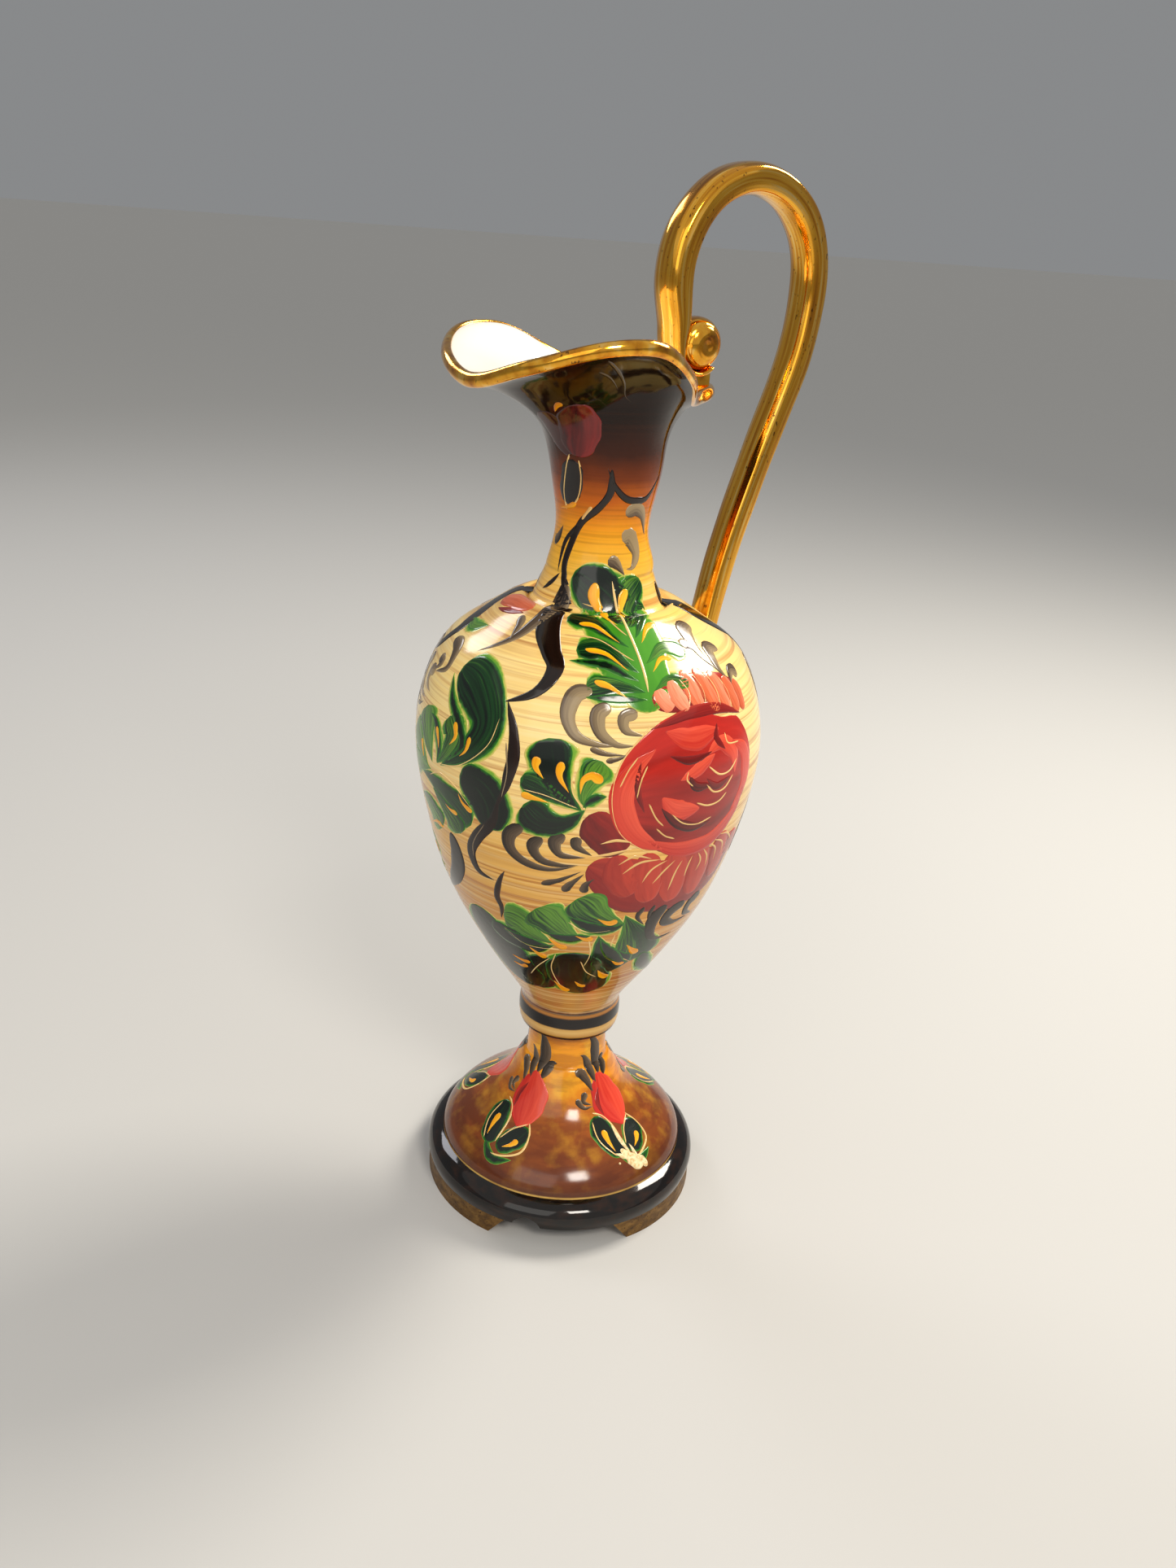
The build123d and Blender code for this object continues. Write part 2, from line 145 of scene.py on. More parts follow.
@dataclass(frozen=True)
class Finish:
    """A finish on fired clay: its name, its gloss and how its surface waves."""

    name: str
    roughness: float = 0.12
    ior: float = 1.52
    coat: float = 0.0
    metallic: float = 0.0
    ripple_mm: float = 9.0
    ripple_depth_mm: float = 0.2
    ripple_strength: float = 0.35

    def material(self) -> bpy.types.Material:
        """Build the node material.

        Returns:
            The finished material.
        """
        made = bpy.data.materials.new(self.name)
        made.use_nodes = True
        tree = made.node_tree
        tree.nodes.clear()
        metal = {"Metallic": self.metallic} if self.metallic else {"IOR": self.ior}
        shader = add_node(tree, "ShaderNodeBsdfPrincipled", {
            "Base Color": self.colour(tree), "Roughness": self.worn(tree),
            "Normal": self.relief(tree), "Coat Weight": self.coat, "Coat Roughness": 0.03, **metal,
        })
        add_node(tree, "ShaderNodeOutputMaterial", {"Surface": shader.outputs[0]},
                 is_active_output=True)
        return made

    def colour(self, tree: bpy.types.NodeTree) -> bpy.types.NodeSocket | str:
        """Colour of the finish; a plain finish has a flat one."""
        return "808080"

    def worn(self, tree: bpy.types.NodeTree) -> bpy.types.NodeSocket | float:
        """Roughness; an even finish has the same all over."""
        return self.roughness

    def place(self, tree: bpy.types.NodeTree) -> bpy.types.NodeSocket:
        """Position on the jug, in metres."""
        return add_node(tree, "ShaderNodeTexCoord").outputs["Object"]

    def relief(self, tree: bpy.types.NodeTree) -> bpy.types.NodeSocket:
        """Slow waves of a glaze that ran and settled in the kiln.

        Args:
            tree: the material's tree.

        Returns:
            The rippled normal.
        """
        ripple = add_node(tree, "ShaderNodeTexNoise", {
            "Vector": self.place(tree), "Scale": 1 / (self.ripple_mm * MM), "Detail": 2.0,
        })
        return add_node(tree, "ShaderNodeBump", {
            "Height": ripple.outputs["Fac"], "Distance": self.ripple_depth_mm * MM,
            "Strength": self.ripple_strength,
        }).outputs["Normal"]

    def noise(
        self, tree: bpy.types.NodeTree, scale: Vector, detail: float = 3.0, vector: Any = None
    ) -> bpy.types.NodeSocket:
        """Noise stretched differently along each axis.

        Args:
            tree: the material's tree.
            scale: how many features there are to each unit of what it reads.
            detail: octaves.
            vector: what it reads; the position when left out.

        Returns:
            The noise, 0 to 1.
        """
        mapped = add_node(tree, "ShaderNodeMapping", {
            "Vector": self.place(tree) if vector is None else vector, "Scale": scale,
        })
        return add_node(tree, "ShaderNodeTexNoise", {
            "Vector": mapped.outputs[0], "Scale": 1.0, "Detail": detail,
        }).outputs["Fac"]

    def height(
        self, tree: bpy.types.NodeTree, low_mm: float, high_mm: float, stray_mm: float = 0.0
    ) -> bpy.types.NodeSocket:
        """Height on the jug as a share of the way from low to high.

        Args:
            tree: the material's tree.
            low_mm: height that gives 0.
            high_mm: height that gives 1.
            stray_mm: how far a hand-brushed edge strays up and down.

        Returns:
            The share, 0 to 1.
        """
        up = add_node(tree, "ShaderNodeSeparateXYZ", {0: self.place(tree)}).outputs["Z"]
        if stray_mm:
            stray = self.noise(tree, per_metre(11.11, 11.11, 11.11), 4.0)
            up = add_node(tree, "ShaderNodeMath", {
                0: stray, 1: 2 * stray_mm * MM, 2: up,
            }, operation="MULTIPLY_ADD").outputs[0]
        return add_node(tree, "ShaderNodeMapRange", {
            "Value": up, "From Min": (low_mm + stray_mm) * MM,
            "From Max": (high_mm + stray_mm) * MM,
        }).outputs[0]


@dataclass(frozen=True)
class BrushedGlaze(Finish):
    """Cream slip brushed on while the pot turned on the wheel, under clear lead glaze.

    The brush leaves thin orange-brown lines that run round the pot, so the cream looks combed.
    """

    low_mm: float = 84.0
    high_mm: float = 262.0
    ground: tuple[tuple[float, str], ...] = (
        (0.0, "3A1C0C"), (0.010, "3A1C0C"), (0.016, "C4924E"), (0.06, "D2A05A"), (0.13, "BF8038"),
        (0.30, "D49642"), (0.5, "F0BC60"), (0.7, "FFE196"), (0.9, "FFDA84"), (1.0, "F6BC48"),
    )
    line_mm: float = 1.15       # drawn near its real pitch
    line: str = "A9560F"
    strength: float = 0.7
    slip: str = "FFE9A8"
    pale: float = 0.5           # how far the bare slip shows between the brush hairs

    def colour(self, tree: bpy.types.NodeTree) -> bpy.types.NodeSocket:
        """Cream ground that darkens downwards, combed with brush lines.

        Args:
            tree: the material's tree.

        Returns:
            The colour.
        """
        ground = add_node(tree, "ShaderNodeValToRGB", {
            0: self.height(tree, self.low_mm, self.high_mm, 3.0),
        }, self.ground).outputs[0]
        lines, bundles, bare = (
            add_node(tree, "ShaderNodeValToRGB", {
                0: self.noise(tree, per_metre(round_mm, round_mm, wide * self.line_mm), detail),
            }, stops).outputs[0]
            for round_mm, wide, detail, stops in (     # wide counts in brush lines
                (90.91, 1.0, 4.0, ((0.46, "000000"), (0.60, "FFFFFF"))),
                (333.3, 6.0, 3.0, ((0.34, "505050"), (0.62, "FFFFFF"))),
                (166.7, 1.3, 3.0, ((0.52, "000000"), (0.72, "FFFFFF"))),
            )
        )
        share = add_node(tree, "ShaderNodeMath", {0: lines, 1: bundles}, operation="MULTIPLY")
        share = add_node(tree, "ShaderNodeMath", {0: share.outputs[0], 1: self.strength},
                         operation="MULTIPLY")
        combed = add_node(tree, "ShaderNodeMix", {0: share.outputs[0], 6: ground, 7: self.line},
                          data_type="RGBA")
        share = add_node(tree, "ShaderNodeMath", {0: bare, 1: self.pale}, operation="MULTIPLY")
        return add_node(tree, "ShaderNodeMix", {
            0: share.outputs[0], 6: combed.outputs[2], 7: self.slip,
        }, data_type="RGBA").outputs[2]


@dataclass(frozen=True)
class MouthGlaze(BrushedGlaze):
    """Yellow brushed slip that runs up into manganese brown, with white glaze inside.

    The eye reads a warm neck that goes to near black under the mouth and a white throat.
    """

    low_mm: float = 262.0
    high_mm: float = 342.0
    ground: tuple[tuple[float, str], ...] = (
        (0.0, "F4BE4C"), (0.10, "F6B434"), (0.22, "EE961A"), (0.33, "BE5E0E"), (0.43, "74320C"),
        (0.54, "3A180A"), (0.68, "1C0D07"), (1.0, "100804"),
    )
    line: str = "3A1A08"
    strength: float = 0.28
    pale: float = 0.0
    throat: str = "ECE9DE"
    lip_from_mm: float = 318.0      # above this, whatever looks up is the inside of the lip

    def colour(self, tree: bpy.types.NodeTree) -> bpy.types.NodeSocket:
        """Painted outside, white inside: the inside faces the axis.

        Args:
            tree: the material's tree.

        Returns:
            The colour.
        """
        outside = super().colour(tree)
        normal = add_node(tree, "ShaderNodeNewGeometry").outputs["Normal"]
        flat = [
            add_node(tree, "ShaderNodeVectorMath", {0: source, 1: (1, 1, 0)},
                     operation="MULTIPLY").outputs[0]
            for source in (normal, self.place(tree))
        ]
        facing = add_node(tree, "ShaderNodeVectorMath", {0: flat[0], 1: flat[1]},
                          operation="DOT_PRODUCT")
        inside = add_node(tree, "ShaderNodeMath", {0: facing.outputs["Value"], 1: 0.0},
                          operation="LESS_THAN")
        looks_up = add_node(tree, "ShaderNodeMath", {
            0: add_node(tree, "ShaderNodeSeparateXYZ", {0: normal}).outputs["Z"], 1: 0.1,
        }, operation="GREATER_THAN")
        at_lip = add_node(tree, "ShaderNodeMath", {
            0: self.height(tree, self.lip_from_mm, self.lip_from_mm + 1), 1: looks_up.outputs[0],
        }, operation="MULTIPLY")
        share = add_node(tree, "ShaderNodeMath", {0: inside.outputs[0], 1: at_lip.outputs[0]},
                         operation="MAXIMUM")
        return add_node(tree, "ShaderNodeMix", {0: share.outputs[0], 6: outside, 7: self.throat},
                        data_type="RGBA").outputs[2]


@dataclass(frozen=True)
class BandedGlaze(Finish):
    """Bands of brown-black and cream glaze, brushed on the wheel round the collar."""

    low_mm: float = 73.0
    high_mm: float = 84.6
    bands: tuple[tuple[float, str], ...] = (
        (0.0, "140B07"), (0.09, "1A0E08"), (0.14, "C08A3E"), (0.34, "D9AE63"), (0.46, "C99A50"),
        (0.50, "150B07"), (0.86, "120A07"), (0.92, "A86E2C"),
    )

    def colour(self, tree: bpy.types.NodeTree) -> bpy.types.NodeSocket:
        """Bands by height, each edge straying a little.

        Args:
            tree: the material's tree.

        Returns:
            The colour.
        """
        return add_node(tree, "ShaderNodeValToRGB", {
            0: self.height(tree, self.low_mm, self.high_mm, 0.35),
        }, self.bands).outputs[0]


@dataclass(frozen=True)
class AmberGlaze(Finish):
    """Iron-amber lead glaze on the pedestal: thick and dark low down, bright and mottled above."""

    low_mm: float = 18.8
    high_mm: float = 73.0
    ground: tuple[tuple[float, str], ...] = (
        (0.0, "E2B866"), (0.012, "E2B866"), (0.02, "5E2C0B"), (0.12, "6E340D"), (0.26, "824010"),
        (0.40, "A4560E"), (0.55, "DA820A"), (0.78, "F8A40E"), (0.93, "EC920A"), (1.0, "964A0C"),
    )
    cloud_mm: tuple[float, float, float] = (8.333, 8.333, 14.286)
    rust_mm: tuple[float, float, float] = (16.667, 16.667, 3.846)
    pooled: str = "F6BE2A"
    rust: float = 0.45          # how strongly the brown clouds darken the amber

    def colour(self, tree: bpy.types.NodeTree) -> bpy.types.NodeSocket:
        """Amber by height with yellow and brown clouding where the glaze pooled.

        Args:
            tree: the material's tree.

        Returns:
            The colour.
        """
        up = self.height(tree, self.low_mm, self.high_mm)
        ground = add_node(tree, "ShaderNodeValToRGB", {0: up}, self.ground).outputs[0]
        cloud = add_node(tree, "ShaderNodeValToRGB", {
            0: self.noise(tree, per_metre(*self.cloud_mm), 5.0),
        }, ((0.50, "000000"), (0.70, "FFFFFF")))
        bright = add_node(tree, "ShaderNodeMath", {0: cloud.outputs[0], 1: up},
                          operation="MULTIPLY")
        lit = add_node(tree, "ShaderNodeMix", {0: bright.outputs[0], 6: ground, 7: self.pooled},
                       data_type="RGBA")
        rusty = add_node(tree, "ShaderNodeValToRGB", {
            0: self.noise(tree, per_metre(*self.rust_mm), 4.0),
        }, ((0.42, "FFFFFF"), (0.58, "8E5A34")))
        return add_node(tree, "ShaderNodeMix", {
            0: self.rust, 6: lit.outputs[2], 7: rusty.outputs[0],
        }, data_type="RGBA", blend_type="MULTIPLY").outputs[2]


@dataclass(frozen=True)
class ManganeseGlaze(Finish):
    """Near-black manganese glaze on the plinth; it breaks to brown where it runs thin."""

    def colour(self, tree: bpy.types.NodeTree) -> bpy.types.NodeSocket:
        """Black brown, with thin brown patches.

        Args:
            tree: the material's tree.

        Returns:
            The colour.
        """
        return add_node(tree, "ShaderNodeValToRGB", {
            0: self.noise(tree, per_metre(6.25, 6.25, 2.381), 4.0),
        }, ((0.45, "0C0705"), (0.75, "2A1509"))).outputs[0]


@dataclass(frozen=True)
class BronzeWash(Finish):
    """Bronze-brown wash over bare clay on the feet: matt, with a dull shine where it is thick."""

    def colour(self, tree: bpy.types.NodeTree) -> bpy.types.NodeSocket:
        """Brushed bronze brown with clay grit showing through.

        Args:
            tree: the material's tree.

        Returns:
            The colour.
        """
        brushed = add_node(tree, "ShaderNodeValToRGB", {
            0: self.noise(tree, per_metre(3.846, 3.846, 2.083), 5.0),
        }, ((0.25, "4A3216"), (0.5, "6E4E22"), (0.75, "8E6A32"))).outputs[0]
        grit = add_node(tree, "ShaderNodeValToRGB", {
            0: self.noise(tree, per_metre(0.769, 0.769, 0.769), 1.0),
        }, ((0.62, "FFFFFF"), (0.72, "7A5A40"))).outputs[0]
        return add_node(tree, "ShaderNodeMix", {0: 1.0, 6: brushed, 7: grit},
                        data_type="RGBA", blend_type="MULTIPLY").outputs[2]

    def worn(self, tree: bpy.types.NodeTree) -> bpy.types.NodeSocket:
        """Duller and shinier patches.

        Args:
            tree: the material's tree.

        Returns:
            The roughness.
        """
        return add_node(tree, "ShaderNodeMapRange", {
            "Value": self.noise(tree, per_metre(4.167, 4.167, 2.0), 3.0),
            "To Min": 0.32, "To Max": 0.7,
        }).outputs[0]


@dataclass(frozen=True)
class GoldLustre(Finish):
    """Bright gold lustre fired over glazed clay, laid on with a brush.

    It mirrors like orange gold, with streaks along the brush and dark pin-holes where it wore.
    """

    streaks: Vector = field(default_factory=lambda: per_metre(6.25, 6.25, 6.25))
    follows_strap: bool = False

    def streak(self, tree: bpy.types.NodeTree) -> bpy.types.NodeSocket:
        """Brush streaks, along the strap or through the solid.

        Args:
            tree: the material's tree.

        Returns:
            The streaks, 0 to 1.
        """
        if not self.follows_strap:
            return self.noise(tree, self.streaks, 4.0)
        strap = add_node(tree, "ShaderNodeUVMap", uv_map="strap").outputs[0]
        return self.noise(tree, self.streaks, 4.0, strap)

    def colour(self, tree: bpy.types.NodeTree) -> bpy.types.NodeSocket:
        """Orange gold, paler in thick streaks, with brown pin-holes.

        Args:
            tree: the material's tree.

        Returns:
            The colour.
        """
        gold = add_node(tree, "ShaderNodeValToRGB", {0: self.streak(tree)}, (
            (0.25, "9A560A"), (0.40, "DA9018"), (0.56, "F8B634"), (0.76, "FFE094"),
        )).outputs[0]
        holes = add_node(tree, "ShaderNodeValToRGB", {
            0: self.noise(tree, per_metre(1.111, 1.111, 2.381), 2.0),
        }, ((0.66, "FFFFFF"), (0.72, "3A1A08"))).outputs[0]
        return add_node(tree, "ShaderNodeMix", {0: 0.8, 6: gold, 7: holes},
                        data_type="RGBA", blend_type="MULTIPLY").outputs[2]

    def worn(self, tree: bpy.types.NodeTree) -> bpy.types.NodeSocket:
        """Mirror bright, duller between the streaks.

        Args:
            tree: the material's tree.

        Returns:
            The roughness.
        """
        return add_node(tree, "ShaderNodeMapRange", {
            "Value": self.streak(tree), "From Min": 0.3, "From Max": 0.7,
            "To Min": 0.17, "To Max": 0.06,
        }).outputs[0]


@dataclass(frozen=True)
class BareClay(Finish):
    """Raw earthenware where the glaze has chipped away: pale, chalky and matt."""

    def colour(self, tree: bpy.types.NodeTree) -> bpy.types.NodeSocket:
        """Cream clay with darker grit.

        Args:
            tree: the material's tree.

        Returns:
            The colour.
        """
        return add_node(tree, "ShaderNodeValToRGB", {
            0: self.noise(tree, per_metre(1.111, 1.111, 1.111), 4.0),
        }, ((0.3, "C79F63"), (0.5, "EBD3A0"), (0.8, "F6E8C4"))).outputs[0]


@dataclass(frozen=True)
class Enamel(Finish):
    """Painter's colour laid in one loaded stroke, thick in the middle and thin at its edge.

    Each hair of the brush leaves a line along the stroke, so the colour runs from deep to light.
    """

    deep: str = "0C2414"
    middle: str = "1E5A28"
    light: str = "7FA83A"
    lip: str = "CFCB6A"
    lip_mm: float = 0.0         # bare or thin colour left along the edge
    glow: str = "3C8E22"
    glow_mm: float = 0.0        # where the colour runs thin and bright inside the edge
    hairs: float = 3.0          # brush hairs seen across half of the stroke
    hair_depth: float = 0.6     # how strongly the hairs show
    sweep: float = 0.35         # how much darker one side is than the other
    hair_length: float = 0.625  # of the stroke's length
    crumb_mm: float = 2.381     # how coarsely the thin edge breaks up
    contrast: float = 0.7

    def colour(self, tree: bpy.types.NodeTree) -> bpy.types.NodeSocket:
        """Brush lines along the stroke, a tone of its own and a lip at the edge.

        Args:
            tree: the material's tree.

        Returns:
            The colour.
        """
        read = {
            name: add_node(tree, "ShaderNodeAttribute", attribute_name=name).outputs["Fac"]
            for name in ("along", "across", "edge", "tone", "stroke")
        }
        lengthwise = add_node(tree, "ShaderNodeCombineXYZ", {
            0: read["along"], 1: read["across"], 2: read["stroke"],
        })
        hair = self.noise(tree, Vector((1 / self.hair_length, self.hairs, 7.0)), 3.0,
                          lengthwise.outputs[0])
        value = add_node(tree, "ShaderNodeMath", {0: hair, 1: self.hair_depth, 2: read["tone"]},
                         operation="MULTIPLY_ADD")
        value = add_node(tree, "ShaderNodeMath", {
            0: read["across"], 1: self.sweep / 2, 2: value.outputs[0],
        }, operation="MULTIPLY_ADD")
        share = add_node(tree, "ShaderNodeMath", {
            0: value.outputs[0], 1: self.contrast, 2: self.contrast * (0.3 - self.hair_depth / 2),
        }, operation="MULTIPLY_ADD")
        body = add_node(tree, "ShaderNodeValToRGB", {0: share.outputs[0]}, (
            (0.24, self.deep), (0.56, self.middle), (0.88, self.light),
        )).outputs[0]
        crumbs = self.noise(tree, per_metre(self.crumb_mm, self.crumb_mm, self.crumb_mm), 3.0)
        for width, tint in ((self.glow_mm, self.glow), (self.lip_mm, self.lip)):
            if not width:
                continue
            wide = add_node(tree, "ShaderNodeMath", {0: crumbs, 1: width * 2},
                            operation="MULTIPLY")
            share = add_node(tree, "ShaderNodeMapRange", {
                "Value": read["edge"], "From Min": 0.0, "From Max": wide.outputs[0],
                "To Min": 1.0, "To Max": 0.0,
            })
            body = add_node(tree, "ShaderNodeMix", {0: share.outputs[0], 6: body, 7: tint},
                            data_type="RGBA").outputs[2]
        return body


# -- Painting -------------------------------------------------------------------------------------


class Form(Enum):
    """Outline that a loaded brush leaves."""

    COMMA = "round head that tapers to a tail"
    LEAF = "pointed at both ends"
    PETAL = "round at both ends"
    LINE = "even, with short tapered ends"
    BLADE = "broad near its start, then a long point"


class Paint(Enum):
    """Painter's colours."""

    BLEED = Enamel("copper green bled into the wet slip", deep="2C7316", middle="4C9622",
                   light="9CBE3C", lip="E9CD72", lip_mm=1.1, glow="8DB83A", glow_mm=1.6)
    LEAF = Enamel("green enamel over cream slip", deep="07130B", middle="123C18", light="5E9228",
                  lip="8FBE3E", lip_mm=0.25, glow="2A7A1C", glow_mm=1.3, hairs=9.0, hair_depth=1.5)
    VINE = Enamel("manganese brown enamel", deep="120905", middle="24120A", light="6A4220")
    SPRIG = Enamel("grey-brown wash enamel", deep="231A12", middle="5A4836", light="A08A66",
                   sweep=0.7, hairs=5.0)
    YOLK = Enamel("yolk yellow enamel", deep="D27808", middle="F9A90A", light="FFD23A")
    ROSE = Enamel("selenium red enamel", deep="6E0E0A", middle="C4261A", light="E9553A",
                  hairs=5.0)
    GARNET = Enamel("garnet red enamel", deep="3A0808", middle="8A1814", light="C23A26")
    SALMON = Enamel("salmon enamel", deep="9A3012", middle="DE6A40", light="F6A884", hairs=5.0)
    INCISED = Enamel("cream line scratched through the enamel", deep="C98F48", middle="EFC67C",
                     light="F8E0A4")


@dataclass(frozen=True)
class Stroke:
    """One brush stroke, by the spots it passes: bearing in degrees and height in millimetres.

    Bearings count anticlockwise from the handle, seen from above.
    """

    paint: Paint
    form: Form
    width: float
    path: tuple[Spot, ...]
    tone: float = 0.5           # 0 is the paint at its deepest, 1 at its lightest
    coat: int = 0               # strokes on top of others have a higher coat

    def moved(self, angle: float, rise: float = 0.0) -> "Stroke":
        """Same stroke further round the pot, and higher."""
        path = tuple((bearing + angle, height + rise) for bearing, height in self.path)
        return replace(self, path=path)

    def half_width(self, share: float) -> float:
        """Half of the stroke's width at a share of its length, as a share of the widest half.

        Args:
            share: place along the stroke, 0 to 1.

        Returns:
            The share of the half width.
        """
        left = 1.0 - share
        match self.form:
            case Form.COMMA:
                head = 0.2
                if share < head:
                    return math.sqrt(max(0.0, 1 - (1 - share / head) ** 2))
                return max(0.0, left / (1 - head)) ** 0.85
            case Form.LEAF:
                return max(0.0, math.sin(math.pi * share)) ** 0.8
            case Form.PETAL:
                return max(0.0, 1 - abs(2 * share - 1) ** 2.5) ** 0.5
            case Form.BLADE:
                return max(0.0, math.sin(math.pi * share**0.6)) ** 0.9
            case Form.LINE:
                return min(1.0, 9 * share, 9 * left) ** 0.5
        return 1.0


class Skin:
    """Outer surface of the fired clay, for paint to lie on."""

    OUTSIDE = 200.0             # well clear of the widest part
    RISE = 0.6                  # steps that the slope is read over
    TURN = 1.2

    def __init__(self, frame: dict[str, Any], names: Iterable[str]) -> None:
        """Gather the named clay sections.

        Args:
            frame: the loaded frame.
            names: CAD nodes whose surface takes the paint.
        """
        corners, faces = [], []
        for name in names:
            mesh = frame["nodes"][name].data
            start = len(corners)
            corners += [vertex.co.copy() for vertex in mesh.vertices]
            faces += [[start + index for index in polygon.vertices] for polygon in mesh.polygons]
        self.tree = BVHTree.FromPolygons(corners, faces)

    def reach(self, bearing: float, height: float) -> float:
        """Distance from the axis to the surface, in millimetres.

        Args:
            bearing: degrees from the handle.
            height: millimetres over the table.

        Returns:
            The distance.
        """
        angle = math.radians(bearing)
        out = Vector((math.cos(angle), math.sin(angle), 0.0))
        start = out * self.OUTSIDE * MM + Vector((0, 0, height * MM))
        hit = self.tree.ray_cast(start, -out)[0]
        if hit is None:
            hit = self.tree.find_nearest(start)[0]
        return math.hypot(hit.x, hit.y) / MM

    def spot(self, bearing: float, height: float) -> np.ndarray:
        """Point on the surface, in millimetres."""
        radius, angle = self.reach(bearing, height), math.radians(bearing)
        return np.array((radius * math.cos(angle), radius * math.sin(angle), height))

    def nearest(self, place: np.ndarray) -> tuple[np.ndarray, np.ndarray]:
        """Closest point of the surface and the direction square to it.

        Args:
            place: a point close to the surface, in millimetres.

        Returns:
            The point on the surface, in millimetres, and the direction.
        """
        point, square, _, _ = self.tree.find_nearest(Vector(place) * MM)
        return np.array(point) / MM, np.array(square)

    def outward(self, bearing: float, height: float) -> np.ndarray:
        """Direction square to the surface, smoothed over a millimetre or so.

        Args:
            bearing: degrees from the handle.
            height: millimetres over the table.

        Returns:
            The direction.
        """
        up = self.spot(bearing, height + self.RISE) - self.spot(bearing, height - self.RISE)
        along = self.spot(bearing + self.TURN, height) - self.spot(bearing - self.TURN, height)
        square = np.cross(along, up)
        return square / max(np.linalg.norm(square), 1e-9)


def smooth_path(points: tuple[Spot, ...], shares: np.ndarray) -> np.ndarray:
    """Smooth curve through the given points.

    Args:
        points: two or more spots.
        shares: places wanted along the curve, 0 to 1.

    Returns:
        One row for each share.
    """
    keys = np.array(points, float)
    keys = np.vstack([2 * keys[0] - keys[1], keys, 2 * keys[-1] - keys[-2]])
    spans = len(points) - 1
    place = np.clip(shares, 0, 1) * spans
    index = np.minimum(place.astype(int), spans - 1)
    t = (place - index)[:, None]
    a, b, c, d = (keys[index + step] for step in range(4))
    square = (2 * a - 5 * b + 4 * c - d) * t**2
    cube = (3 * b - a - 3 * c + d) * t**3
    return 0.5 * (2 * b + (c - a) * t + square + cube)


